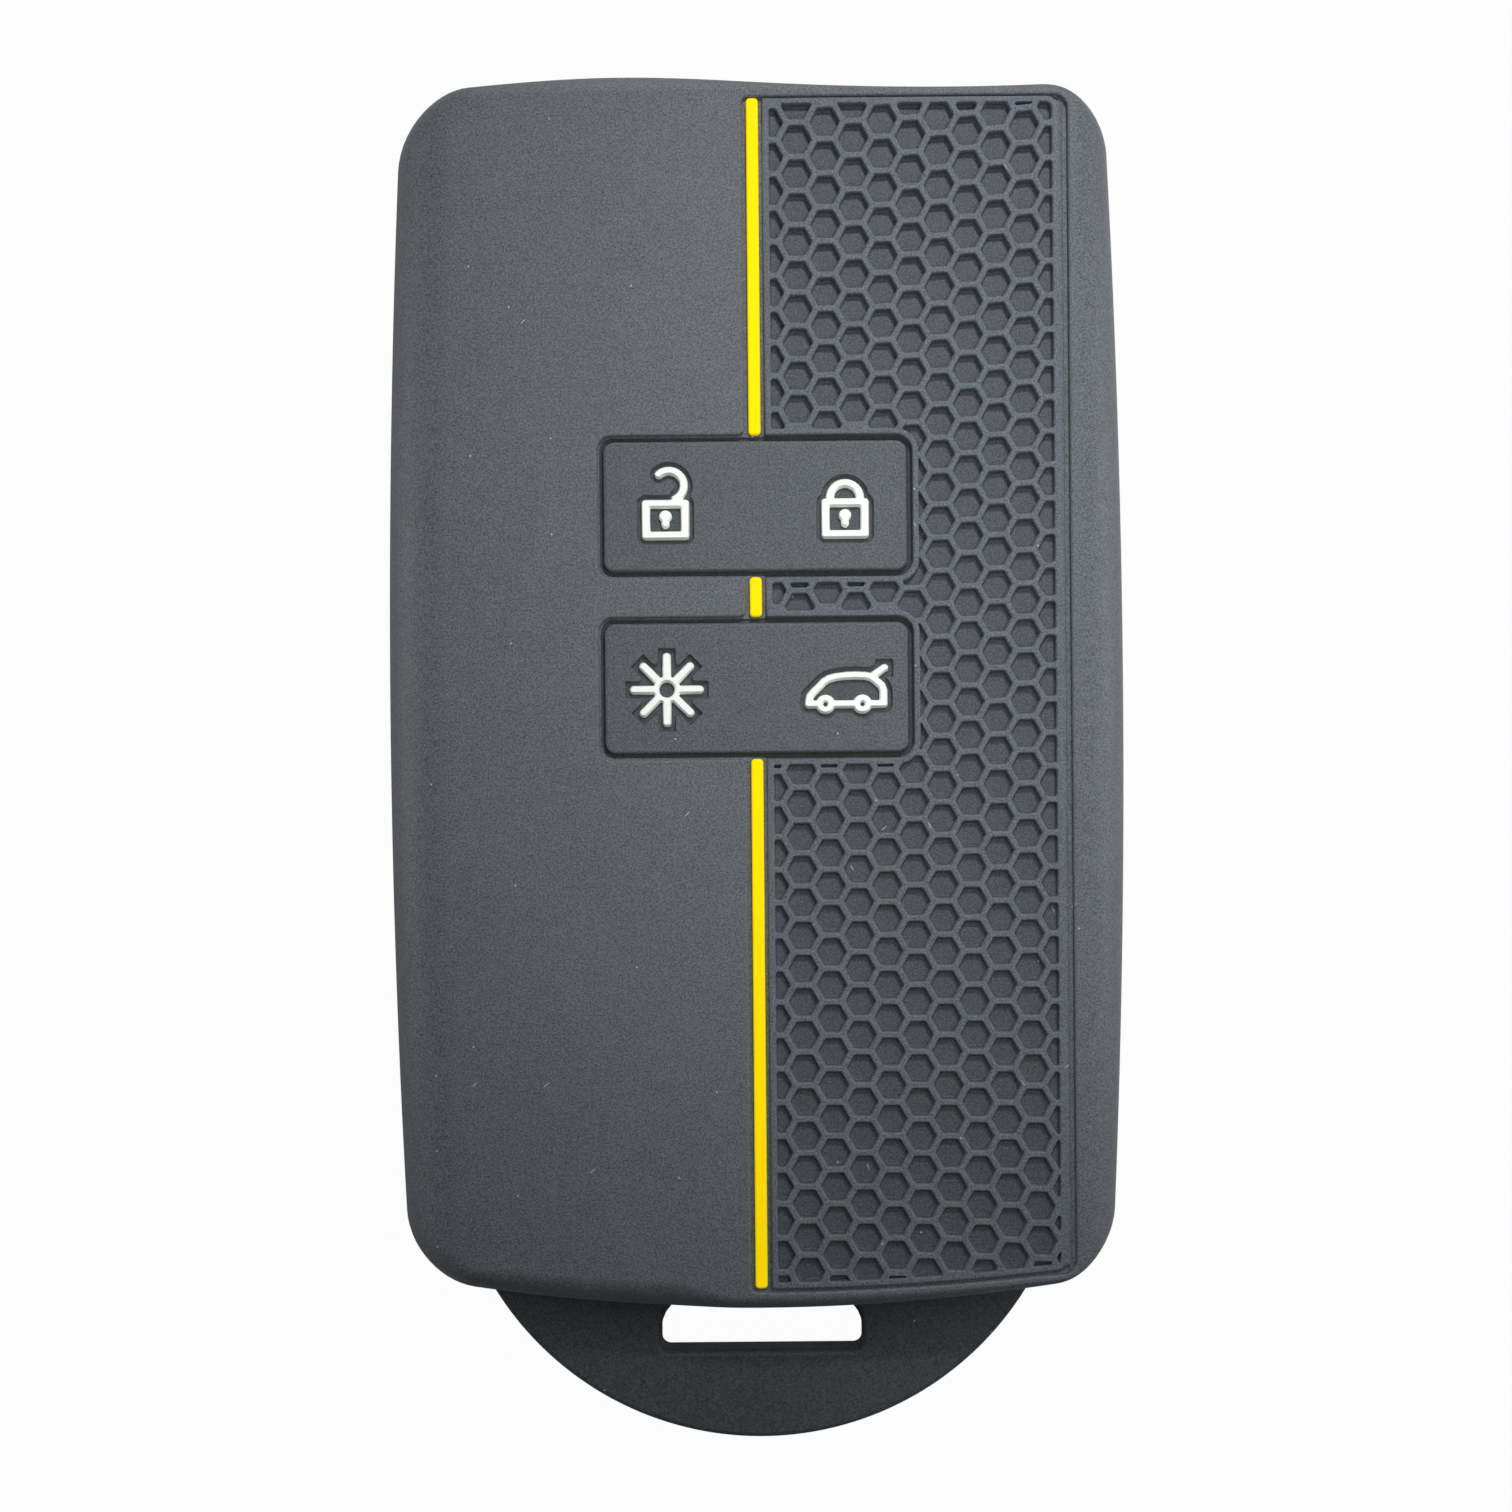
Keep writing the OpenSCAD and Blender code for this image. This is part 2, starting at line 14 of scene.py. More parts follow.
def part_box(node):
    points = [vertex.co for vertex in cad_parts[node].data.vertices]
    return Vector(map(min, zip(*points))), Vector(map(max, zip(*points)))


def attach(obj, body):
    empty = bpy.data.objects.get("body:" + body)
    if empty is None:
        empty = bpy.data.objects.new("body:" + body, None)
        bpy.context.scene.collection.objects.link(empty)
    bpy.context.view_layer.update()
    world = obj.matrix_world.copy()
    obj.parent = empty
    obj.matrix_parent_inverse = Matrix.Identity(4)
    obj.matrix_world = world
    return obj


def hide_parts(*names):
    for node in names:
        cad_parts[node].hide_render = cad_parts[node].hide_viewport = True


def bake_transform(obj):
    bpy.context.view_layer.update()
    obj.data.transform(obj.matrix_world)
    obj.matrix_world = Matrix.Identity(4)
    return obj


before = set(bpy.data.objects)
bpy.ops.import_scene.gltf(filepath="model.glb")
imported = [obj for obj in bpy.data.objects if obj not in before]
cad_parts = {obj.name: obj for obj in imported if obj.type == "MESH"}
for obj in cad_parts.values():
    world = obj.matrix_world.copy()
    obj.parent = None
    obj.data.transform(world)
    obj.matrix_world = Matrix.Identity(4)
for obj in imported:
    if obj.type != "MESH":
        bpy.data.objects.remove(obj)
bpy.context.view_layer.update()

bl_info = {
    "name": "Silicone Key Cover",
    "version": (1, 0, 0),
    "blender": (4, 5, 0),
    "location": "3D View > Sidebar > Key Cover",
    "description": "Builds the finished pieces of a moulded silicone key cover",
    "category": "Object",
}

MM = 0.001
WHITE = (1.0, 1.0, 1.0)
KNOB_HEIGHT = 0.5 * MM
# The symbols on the pad of each row
ROWS = {
    "upper": ("unlock_icon", "unlock_keyhole", "lock_icon", "lock_keyhole"),
    "lower": ("light_icon", "trunk_icon"),
}
STRIPES = ("stripe_upper", "stripe_middle", "stripe_lower")


# Settings

def length(name, description, default, low=0.0):
    """A length in metres, shown as a distance."""
    return bpy.props.FloatProperty(name=name, description=description, default=default, min=low,
                                   unit="LENGTH", subtype="DISTANCE", precision=5)


def share(name, description, default, top=1.0):
    """A plain number without a unit."""
    return bpy.props.FloatProperty(name=name, description=description, default=default, min=0.0, max=top)


def power(name, description, default):
    """The power of a lamp, in watts."""
    return share(name, description + ", in watts", default, top=50.0)


def angle(name, description, default):
    """An angle in radians, shown in degrees."""
    return bpy.props.FloatProperty(name=name, description=description, default=default,
                                   unit="ROTATION", subtype="ANGLE")


def tint(name, description, default):
    """A linear colour."""
    return bpy.props.FloatVectorProperty(name=name, description=description, default=default, size=3,
                                         subtype="COLOR", min=0.0, max=1.0)


class CoverShape(bpy.types.PropertyGroup):
    """Curves, slot and rounded edges of the moulding."""

    side_bow: length("Side bow", "Radius of the outward bow of the long sides", 0.89)
    far_bow: length("Far bow", "Radius of the outward bow of the far end", 0.8)
    tab_bow: length("Tab end bow", "Radius of the outward bow of the tab end", 0.15)
    flat_bow_share: share("Bow of the flat", "Bow of the flat of the front at the tab end, as a share", 0.75)
    far_wave: length("Far wave", "Height of the soft wave along the far end", 0.00059)
    wave_share: share("Wave length", "Length of that wave as a share of the width", 0.83)
    far_corner: length("Far corners", "Corner radius at the far end", 0.0056)
    tab_corner: length("Tab corners", "Corner radius at the tab end", 0.0052)
    roll_width: length("Roll-off", "Width of the roll-off along the long sides", 0.0048)
    roll_height: length("Roll-off height", "Height of the roll-off round the front", 0.0042)
    far_roll: length("Far roll-off", "Width of the roll-off along the far end", 0.00125)
    tab_roll: length("Tab end roll-off", "Width of the roll-off along the tab end", 0.0015)
    tab_roll_left: length("Left roll-off", "Further width of that roll-off left of the line", 0.0012)
    left_start: length("Left start", "Distance from the line at which that width starts", 0.0015)
    left_ease: length("Left ease", "Distance over which that width grows", 0.006)
    flat_corner: length("Front corners", "Corner radius of the flat of the front", 0.001)
    rim: length("Rim", "Flat rim between the honeycomb's gutter and the roll-off", 0.00025)
    back_edge: length("Back edge", "Radius of the edge round the back", 0.0012)
    wall: length("Wall", "Thickness of the walls", 0.0015)
    lip_side: length("Lip at the sides", "Width of the back lip along the sides", 0.007)
    lip_end: length("Lip at the ends", "Width of the back lip at the ends", 0.008)
    window_corner: length("Window corners", "Corner radius of the back window", 0.006)
    field_corner: length("Field corners", "Corner radius of the recessed field", 0.0005)
    web_corner: length("Web corners", "Corner radius of the recesses of the pads", 0.00125)
    pad_corner: length("Pad corners", "Corner radius of the pads", 0.0008)
    gutter_side: length("Side gutter", "Gutter between the honeycomb and the side", 0.00072)
    gutter_far: length("Far gutter", "Gutter between the honeycomb and the far end", 0.0001)
    gutter_tab: length("Tab end gutter", "Gutter between the honeycomb and the tab end", 0.00025)
    front_edge: length("Front edge", "Rounding of the edges of the front's recesses", 0.00018)
    cell_edge: length("Cell edge", "Rounding of the tops of the cell walls", 0.00013)
    cell_corner: length("Cell corners", "Rounding of the corners of a cell", 0.00018)
    cell_draft: length("Cell draft", "Lean of the cell walls", 0.00005)
    pad_edge: length("Pad edge", "Rounding of the edges of the pads", 0.00022)
    pocket_edge: length("Pocket edge", "Rounding of the edges of the symbols' pockets", 0.00003)
    symbol_edge: length("Symbol edge", "Rounding of the top edges of the symbols", 0.00003)
    symbol_draft: length("Symbol draft", "Width of the slope round the tops of the symbols", 0.00008)
    symbol_near: length("Symbol near draft", "Further width of the slope towards the tab end", 0.0001)
    line_edge: length("Line edge", "Rounding of the top edges of the yellow line", 0.00014)
    tab_edge: length("Tab edge", "Rounding of the edges of the key-ring tab", 0.0004)
    tab_radius: length("Tab radius", "Radius of the round edge of the tab", 0.0242)
    slot_half: length("Half slot", "Half of the length of the slot", 0.0078)
    slot_width: length("Slot width", "Width of the slot, from the wall of the pouch", 0.0043)
    slot_edge: length("Slot edge", "Rounding of the front edge of the slot", 0.0005)
    slot_corner: length("Slot corners", "Corner radius of the slot", 0.0007)
    slot_fillet: length("Slot fillets", "Radius between the slot's ends and the pouch", 0.0028)


class CoverFinish(bpy.types.PropertyGroup):
    """Colours and surface of the rubbers."""

    front: tint("Front", "Silicone of the front and the walls", (0.093, 0.104, 0.118))
    pad: tint("Pads", "Silicone of the rocker pads", (0.075, 0.085, 0.098))
    honeycomb: tint("Honeycomb", "Silicone of the honeycomb panel", (0.093, 0.106, 0.127))
    # Painted shade: the tab is the front's silicone, made darker all over to stand for the shade it lies in
    # below the pouch
    tab: tint("Tab", "Silicone of the key-ring tab", (0.052, 0.059, 0.065))
    # Painted shade: the webs are the front's silicone, made darker to stand for the shade in the gutters
    # round the pads
    web: tint("Webs", "Thin silicone webs round the pads", (0.036, 0.04, 0.045))
    yellow: tint("Line", "Yellow silicone of the line", (1.0, 0.54, 0.001))
    yellow_dirt: tint("Line dirt", "Dirt on the yellow silicone", (0.62, 0.4, 0.002))
    # Painted shade on the sides of the line
    yellow_side_shade: tint("Line sides", "Yellow silicone below the top of the line", (0.7, 0.4, 0.001))
    # Painted light: this glow is an emission that keeps the line bright where the lamps light it weakly
    yellow_painted_glow: tint("Line glow", "Glow of the day-glow pigment in the yellow", (0.3, 0.31, 0.0))
    white: tint("Symbols", "White silicone of the symbols", (0.97, 0.99, 0.96))
    white_dirt: tint("Symbol dirt", "Dirt on the white silicone", (0.66, 0.69, 0.62))
    # Painted shade on the sides of the symbols
    white_side_shade: tint("Symbol sides", "White silicone below the tops of the symbols", (0.84, 0.9, 0.78))
    roughness: share("Roughness", "Roughness of the matt silicone", 0.56)
    cloud: length("Clouds", "Size of the soft clouds in the colour", 0.009)
    cloud_share: share("Cloud strength", "Strength of the clouds in the colour", 0.06)
    mottle: length("Mottle", "Size of the mottle in the colour", 0.0012)
    mottle_share: share("Mottle strength", "Strength of the mottle in the colour", 0.3)
    grain: length("Grain", "Size of the moulded grain", 0.00014)
    grain_depth: length("Grain depth", "Depth of the moulded grain", 0.000012)
    speckle: share("Speckle", "Strength of the grain in the colour", 1.1, top=2.0)
    dust: share("Dust", "Share of the surface's cells that hold a speck of dust", 0.09)
    dust_cover: share("Dust cover", "How far a speck of dust hides the rubber", 0.75)
    dust_colour: tint("Dust colour", "Colour of the dust", (0.5, 0.52, 0.53))


class CoverStage(bpy.types.PropertyGroup):
    """Floor, light and camera."""

    lens_height: length("Lens height", "Height of the lens above the front face", 0.175)
    field: length("Field", "Width of the view at the front face", 0.1122)
    aim_x: length("Aim X", "Sideways place of the lens", -0.00009, low=-1.0)
    aim_y: length("Aim Y", "Lengthways place of the lens", 0.00074, low=-1.0)
    roll: angle("Roll", "Tilt of the picture", -0.0085)
    floor: tint("Floor", "Colour of the floor and the backdrop", WHITE)
    floor_glow: share("Floor glow", "Share of the floor that the camera sees as its plain colour", 0.97)
    floor_bounce: share("Floor bounce", "Share of the light that the floor gives back", 0.4)
    key_power: power("Key light", "Power of the key lamp high beyond the far end", 4.05)
    key_cone: angle("Key cone", "Full angle of the key lamp's soft cone", math.radians(24))
    key_radius: length("Key radius", "Radius of the key lamp, which softens its shadows", 0.025)
    soft_power: power("Soft light", "Power of the near lamp above", 0.053)
    right_power: power("Right light", "Power of the low lamp at the right", 0.122)
    left_power: power("Left light", "Power of the low lamp at the left", 0.1)
    far_power: power("Far light", "Power of the low lamp beyond the far end", 0.085)
    under_power: power("Under light", "Power of the lamp under the floor, for the back", 1.8)
    sky: share("Sky", "Strength of the light from all round", 0.03, top=5.0)


SETTINGS = {"cover_shape": CoverShape, "cover_finish": CoverFinish, "cover_stage": CoverStage}


# Flat outlines. A loop is a list of 2D points with the material on its left.

def edges(loop):
    """Each point with the next one, round the loop."""
    return zip(loop, loop[1:] + loop[:1])


def normals(loop):
    """The unit normal at each point, away from the material, and its mitre length."""
    least_share = 0.6
    found = []
    for i, point in enumerate(loop):
        a = (point - loop[i - 1]).normalized()
        b = (loop[(i + 1) % len(loop)] - point).normalized()
        n = Vector((a.y + b.y, -a.x - b.x))
        n = n.normalized() if n.length > 1e-6 else Vector((a.y, -a.x))
        found.append((n, 1.0 / max(n.dot(Vector((a.y, -a.x))), least_share)))
    return found


def offset(loop, distance, lean, fall):
    """The loop moved away from its material; lean adds to the distance by the normal and a share."""
    moved = []
    for p, (n, mitre) in zip(loop, normals(loop)):
        moved.append(p + n * mitre * (distance + (lean(n, fall) if lean else 0.0)))
    return untangled(untangled(moved, loop), loop)


def untangled(moved, loop):
    """The moved loop, with the ends of every edge that turned back drawn together."""
    turned = [(b - a).dot(d - c) < 0 for (a, b), (c, d) in zip(edges(moved), edges(loop))]
    if all(turned) or not any(turned):
        return moved
    start = turned.index(False) + 1
    drawn, run = list(moved), []
    for i in range(start, start + len(loop)):
        i %= len(loop)
        run.append(i)
        if not turned[i]:
            middle = sum((moved[k] for k in run), Vector((0, 0))) / len(run)
            for k in run:
                drawn[k] = middle
            run = []
    return drawn


def rounded(corners, steps=6):
    """A loop through corners, each (x, y, radius), with an arc at each one that has a radius."""
    nearly_straight = math.radians(85)
    reach_share = 0.45
    points = []
    for i, (x, y, radius) in enumerate(corners):
        p = Vector((x, y))
        u = Vector(corners[i - 1][:2]) - p
        v = Vector(corners[(i + 1) % len(corners)][:2]) - p
        half = u.angle(v) / 2
        if radius <= 0 or half > nearly_straight:
            points.append(p)
            continue
        reach = min(radius / math.tan(half), reach_share * min(u.length, v.length))
        r = reach * math.tan(half)
        u.normalize()
        v.normalize()
        centre = p + (u + v).normalized() * (r / math.sin(half))
        start, end = p + u * reach - centre, p + v * reach - centre
        points += [centre + start.slerp(end, k / steps) * r for k in range(steps + 1)]
    return points


def rounded_rect(lo, hi, radius, steps=6):
    """A rectangle with round corners, from one corner to the other."""
    corners = [(lo[0], lo[1], radius), (hi[0], lo[1], radius), (hi[0], hi[1], radius), (lo[0], hi[1], radius)]
    return rounded(corners, steps)


def quarter(steps):
    """The sine, and one minus the cosine, at even steps of a quarter turn."""
    turns = [math.pi / 2 * k / steps for k in range(steps + 1)]
    return [(math.sin(turn), 1 - math.cos(turn)) for turn in turns]


def area(loop):
    """Signed area: positive where the loop runs round its material."""
    return sum(a.x * b.y - b.x * a.y for a, b in edges(loop)) / 2


def inradius(loop):
    """About the radius of the largest circle in the loop."""
    return 2 * abs(area(loop)) / sum((b - a).length for a, b in edges(loop))


def top_loops(node):
    """The outlines of the flat top of a node in the frame."""
    level, least_up = 0.01 * MM, 0.99
    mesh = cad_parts[node].data
    top = max(v.co.z for v in mesh.vertices)
    spots = {}

    def spot(index):
        co = mesh.vertices[index].co
        key = (round(co.x / MM, 3), round(co.y / MM, 3))
        spots.setdefault(key, Vector((co.x, co.y)))
        return key

    directed = set()
    for face in mesh.polygons:
        if face.normal.z > least_up and abs(face.center.z - top) < level:
            keys = [spot(i) for i in face.vertices]
            directed.update((a, b) for a, b in edges(keys) if a != b)
    onward = {a: b for a, b in directed if (b, a) not in directed}
    loops = []
    while onward:
        start, key = onward.popitem()
        keys = [start]
        while key != start:
            keys.append(key)
            key = onward.pop(key)
        loops.append(straightened([spots[k] for k in keys]))
    return sorted(loops, key=area, reverse=True), top


def straightened(loop):
    """The loop without points that lie on a straight line."""
    least_turn = math.radians(0.5)
    kept = []
    for i, p in enumerate(loop):
        a, b = p - loop[i - 1], loop[(i + 1) % len(loop)] - p
        if a.length > 1e-8 and b.length > 1e-8 and a.angle(b) > least_turn:
            kept.append(p)
    return kept


def softened(loop, radius, steps=3):
    """The loop with its sharp corners rounded."""
    sharp = math.radians(24)
    corners = []
    for i, p in enumerate(loop):
        turn = (p - loop[i - 1]).angle(loop[(i + 1) % len(loop)] - p)
        corners.append((p.x, p.y, radius if turn > sharp else 0.0))
    return rounded(corners, steps)


# Outline of the pouch

class Pouch:
    """The outline of the pouch, drawn in by any distance at each side."""

    corner_steps = 14
    side_steps = 30
    end_steps = 36
    least_corner = 0.8 * MM

    def __init__(self, shape):
        low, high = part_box("cover_shell")
        self.shape = shape
        self.half_width = (high.x - low.x) / 2
        self.tab_y = low.y
        crest = max(self.far_rise(self.half_width * i / 50) for i in range(-50, 51))
        self.far_y = high.y - crest
        self.front = high.z
        self.mid_y = (self.far_y + self.tab_y) / 2
        self.half_length = (self.far_y - self.tab_y) / 2

    def far_rise(self, x, flat=0.0):
        """Rise of the far end; its wave is gone where the front is flat."""
        turn = math.tau * x / (2 * self.half_width * self.shape.wave_share)
        return -x * x / (2 * self.shape.far_bow) - (1 - flat) * self.shape.far_wave * math.sin(turn)

    def tab_rise(self, x, flat=0.0):
        """Rise of the tab end beside its middle; it is less where the front is flat."""
        return x * x / (2 * self.shape.tab_bow) * (1 - flat * (1 - self.shape.flat_bow_share))

    def left_rise(self, x):
        """Further rise of the flat of the front at the tab end, left of the line."""
        u = min(max((-x - self.shape.left_start) / self.shape.left_ease, 0.0), 1.0)
        return self.shape.tab_roll_left * u * u * (3 - 2 * u)

    def bent(self, p, straight_right, flat):
        """A point of the straight outline on the bowed one."""
        y = p.y - self.mid_y
        bow = y * y / (2 * self.shape.side_bow * self.half_width)
        if straight_right and p.x > 0:
            bow = 0.0
        weight = min(abs(y) / self.half_length, 1.0)
        rise = self.far_rise(p.x, flat) if y > 0 else self.tab_rise(p.x, flat) + flat * self.left_rise(p.x)
        return Vector((p.x * (1 - bow), p.y + weight * rise))

    def ring(self, left, right, far, tab, z, far_corner=None, tab_corner=None, straight_right=False,
             flat=0.0):
        """Points of one level, the same number for any inset."""
        shape = self.shape
        far_r = far_corner or max(shape.far_corner - (left + far) / 2, self.least_corner)
        tab_r = tab_corner or max(shape.tab_corner - (left + tab) / 2, self.least_corner)
        x0, x1 = left - self.half_width, self.half_width - right
        y0, y1 = self.tab_y + tab, self.far_y - far
        points = []

        def line(a, b, steps):
            points.extend(Vector(a).lerp(Vector(b), k / steps) for k in range(1, steps))

        def corner(x, y, r, start):
            for k in range(self.corner_steps + 1):
                turn = math.radians(start + 90 * k / self.corner_steps)
                points.append(Vector((x + r * math.cos(turn), y + r * math.sin(turn))))

        line((x1, y0 + tab_r), (x1, y1 - far_r), self.side_steps)
        corner(x1 - far_r, y1 - far_r, far_r, 0)
        line((x1 - far_r, y1), (x0 + far_r, y1), self.end_steps)
        corner(x0 + far_r, y1 - far_r, far_r, 90)
        line((x0, y1 - far_r), (x0, y0 + tab_r), self.side_steps)
        corner(x0 + tab_r, y0 + tab_r, tab_r, 180)
        line((x0 + tab_r, y0), (x1 - tab_r, y0), self.end_steps)
        corner(x1 - tab_r, y0 + tab_r, tab_r, 270)
        return [self.bent(p, straight_right, flat).to_3d() + Vector((0, 0, z)) for p in points]

    def even(self, inset, z, **corners):
        """A ring with one inset all round."""
        return self.ring(inset, inset, inset, inset, z, **corners)


# Meshes

class Solid:
    """A mesh that is built from rings and flat faces."""

    def __init__(self):
        self.bm = bmesh.new()

    def ring(self, points):
        """New vertices through the points."""
        return [self.bm.verts.new(p) for p in points]

    def level(self, loop, z):
        """New vertices along a flat loop."""
        return self.ring([p.to_3d() + Vector((0, 0, z)) for p in loop])

    def bridge(self, lower, upper):
        """Smooth faces between two rings of the same length."""
        n = len(lower)
        for i in range(n):
            j = (i + 1) % n
            face = self.bm.faces.new((lower[i], lower[j], upper[j], upper[i]))
            face.smooth = True

    def fill(self, rings, up=True):
        """Flat faces inside the first ring and outside the others."""
        sliver, lost_share = 1e-9, 0.01
        if len(rings) == 1:
            ring = rings[0]
            self.bm.faces.new(ring if (area([vert.co.xy for vert in ring]) > 0) == up else ring[::-1])
            return
        verts = [vert for ring in rings for vert in ring]
        z = verts[0].co.z
        loops = []
        for ring in rings:
            start = sum(len(loop) for loop in loops)
            loop = list(range(start, start + len(ring)))
            loops.append(loop if area([vert.co.xy for vert in ring]) > 0 else loop[::-1])
        flat = [vert.co.xy / MM for vert in verts]
        points, _, faces, sources, _, owners = delaunay_2d_cdt(flat, [], loops, 1, 1e-5)
        corners = [verts[source[0]] if source else self.bm.verts.new((*(point * MM), z))
                   for point, source in zip(points, sources)]
        made = 0.0
        for face, owner in zip(faces, owners):
            spots = [points[i] for i in face]
            turn = (spots[1] - spots[0]).cross(spots[2] - spots[0])
            if owner == [0] and abs(turn) > sliver:
                made += abs(turn) / 2
                picked = [corners[i] for i in face]
                self.bm.faces.new(picked if (turn > 0) == up else picked[::-1])
        whole, *holes = (abs(area([vert.co.xy for vert in ring])) / MM ** 2 for ring in rings)
        if abs(made - whole + sum(holes)) > lost_share * whole:
            raise RuntimeError("a flat face isn't filled: its outlines cross")

    def walls(self, loop, profile, lean=None):
        """Rings down a wall: profile holds (distance from the material, height) from the top.

        lean gives a further distance from the wall's direction and the share of the way down.
        """
        rings = []
        for k, (distance, z) in enumerate(profile):
            rings.append(self.level(offset(loop, distance, lean, k / (len(profile) - 1)), z))
            if k:
                self.bridge(rings[k], rings[k - 1])
        return rings

    def revolve(self, centre, profile, steps=32):
        """A round body: profile holds (radius, height) from the open end to the pole."""
        turns = [math.tau * k / steps for k in range(steps)]
        rings = []
        for radius, z in profile:
            around = [Vector((radius * math.cos(turn), radius * math.sin(turn), z)) for turn in turns]
            rings.append(self.ring([centre + point for point in around]))
        for lower, upper in zip(rings, rings[1:]):
            self.bridge(upper, lower)
        self.bm.faces.new(list(reversed(rings[-1]))).smooth = True

    def object(self, name, material):
        """The finished object, with its material."""
        bmesh.ops.remove_doubles(self.bm, verts=self.bm.verts, dist=1e-7)
        mesh = bpy.data.meshes.new(name)
        self.bm.to_mesh(mesh)
        self.bm.free()
        mesh.materials.append(material)
        piece = bpy.data.objects.new(name, mesh)
        bpy.context.scene.collection.objects.link(piece)
        return piece


def round_edge(radius, top, start=0.0, steps=4):
    """Profile of a rounded edge: (distance, height) from the flat top into the wall."""
    return [(start - radius * (1 - s), top - radius * c) for s, c in quarter(steps)]


def foot(radius, floor, start, steps=3):
    """Profile of the hollow fillet from a wall to its floor."""
    return [(start + radius * c, floor + radius * (1 - s)) for s, c in quarter(steps)]


def near_lean(shift):
    """A lean that widens the slope on the sides that face the tab end, but not its foot."""
    foot_share = 0.8

    def lean(n, fall):
        return shift * min(n.y, 0.0) if fall < foot_share else 0.0

    return lean


def raised_piece(name, node, body, material, edge, draft=0.0, near=0.0, corner=0.0):
    """A raised shape with the outlines of its node and a sloped edge, wider by near towards the tab end."""
    sink = 0.02 * MM
    low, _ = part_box(node)
    loops, top = top_loops(node)
    solid = Solid()
    tops = []
    fill_share = 0.8
    steepness = 0.7
    slope = edge + (draft + near) * steepness
    for loop in loops:
        if corner:
            loop = softened(loop, corner)
        limit = min(1.0, fill_share * inradius(loop) / (edge + draft + near / 2))
        profile = round_edge(edge * limit, top, start=-draft * limit)
        profile += [(0.0, top - slope), (0.0, low.z - sink)]
        tops.append(solid.walls(loop, profile, lean=near_lean(near * limit))[0])
    solid.fill(tops)
    piece = solid.object(name, material)
    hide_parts(node)
    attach(piece, body)
    return piece


# Shader nodes

def maths(operation, reflected=False):
    """A Python operator that adds a Math node; its reflected form has the socket on the right."""
    def apply(self, other):
        pair = (other, self) if reflected else (self, other)
        return self.paint.node("ShaderNodeMath", {"operation": operation}, dict(enumerate(pair)))

    return apply


class Value:
    """A socket in a node tree; Python's operators on it add Math nodes."""

    __add__ = __radd__ = maths("ADD")
    __sub__ = maths("SUBTRACT")
    __rsub__ = maths("SUBTRACT", reflected=True)
    __mul__ = __rmul__ = maths("MULTIPLY")
    __gt__ = maths("GREATER_THAN")
    __lt__ = maths("LESS_THAN")

    def __init__(self, paint, socket):
        self.paint = paint
        self.socket = socket

    def clamped(self):
        """The value kept between nought and one."""
        return self.paint.node("ShaderNodeClamp", {}, {0: self})


class Paint:
    """The node tree of a material or a world, made in code."""

    def __init__(self, owner):
        self.owner = owner
        owner.use_nodes = True
        self.tree = owner.node_tree
        self.tree.nodes.clear()

    def node(self, kind, settings, inputs, output=0):
        """A node of any kind: its settings first, then the values or links of its sockets."""
        made = self.tree.nodes.new(kind)
        for key, value in settings.items():
            if key == "stops":
                for stop, (place, level) in zip(made.color_ramp.elements, value):
                    stop.position = place
                    stop.color = (level, level, level, 1.0)
            else:
                setattr(made, key, value)
        for key, value in inputs.items():
            if isinstance(value, Value):
                self.tree.links.new(value.socket, made.inputs[key])
            else:
                made.inputs[key].default_value = value
        return Value(self, made.outputs[output]) if made.outputs else None

    def place(self):
        """Where the point is on the cover."""
        return self.node("ShaderNodeTexCoord", {}, {}, output="Object")

    def noise(self, size, detail=2.0, roughness=0.5, output=0):
        """Cloudy pattern with features of a size in metres."""
        inputs = {"Vector": self.place(), "Scale": 1.0 / size, "Detail": detail, "Roughness": roughness}
        return self.node("ShaderNodeTexNoise", {}, inputs, output)

    def ramp(self, value, stops):
        """The value drawn through a ramp of grey levels."""
        return self.node("ShaderNodeValToRGB", {"stops": stops}, {0: value})

    def shown(self, factor, a, b):
        """A blend of two shaders."""
        return self.node("ShaderNodeMixShader", {}, {0: factor, 1: a, 2: b})

    def mix(self, factor, a, b):
        """A blend of two colours."""
        a, b = ((*c, 1.0) if not isinstance(c, Value) else c for c in (a, b))
        return self.node("ShaderNodeMix", {"data_type": "RGBA"}, {0: factor, 6: a, 7: b}, output=2)

    def stretched(self, scale, turn):
        """The place on the cover, turned about Z and stretched."""
        settings = {"vector_type": "TEXTURE"}
        inputs = {0: self.place(), "Rotation": (0.0, 0.0, turn), "Scale": scale}
        return self.node("ShaderNodeMapping", settings, inputs)

    def rise(self, low, high):
        """How far up between two heights the point lies, from nought to one."""
        z = self.node("ShaderNodeSeparateXYZ", {}, {0: self.place()}, output="Z")
        return ((z - low) * (1.0 / (high - low))).clamped()

    def scaled(self, colour, factor):
        """A colour made darker or lighter by a value."""
        return self.node("ShaderNodeVectorMath", {"operation": "SCALE"}, {0: colour, "Scale": factor})

    def bump(self, height, depth):
        """A normal from a height pattern between nought and one, with its depth in metres."""
        return self.node("ShaderNodeBump", {}, {"Height": height, "Distance": depth, "Strength": 1.0})

    def surface(self, colour, roughness, normal, **constants):
        """The rubber's shader; the constants are set on its own sockets."""
        inputs = {"Base Color": colour, "Roughness": roughness, "Normal": normal}
        inputs.update({key.replace("_", " "): value for key, value in constants.items()})
        shader = self.node("ShaderNodeBsdfPrincipled", {}, inputs)
        self.node("ShaderNodeOutputMaterial", {}, {"Surface": shader})
        return self.owner


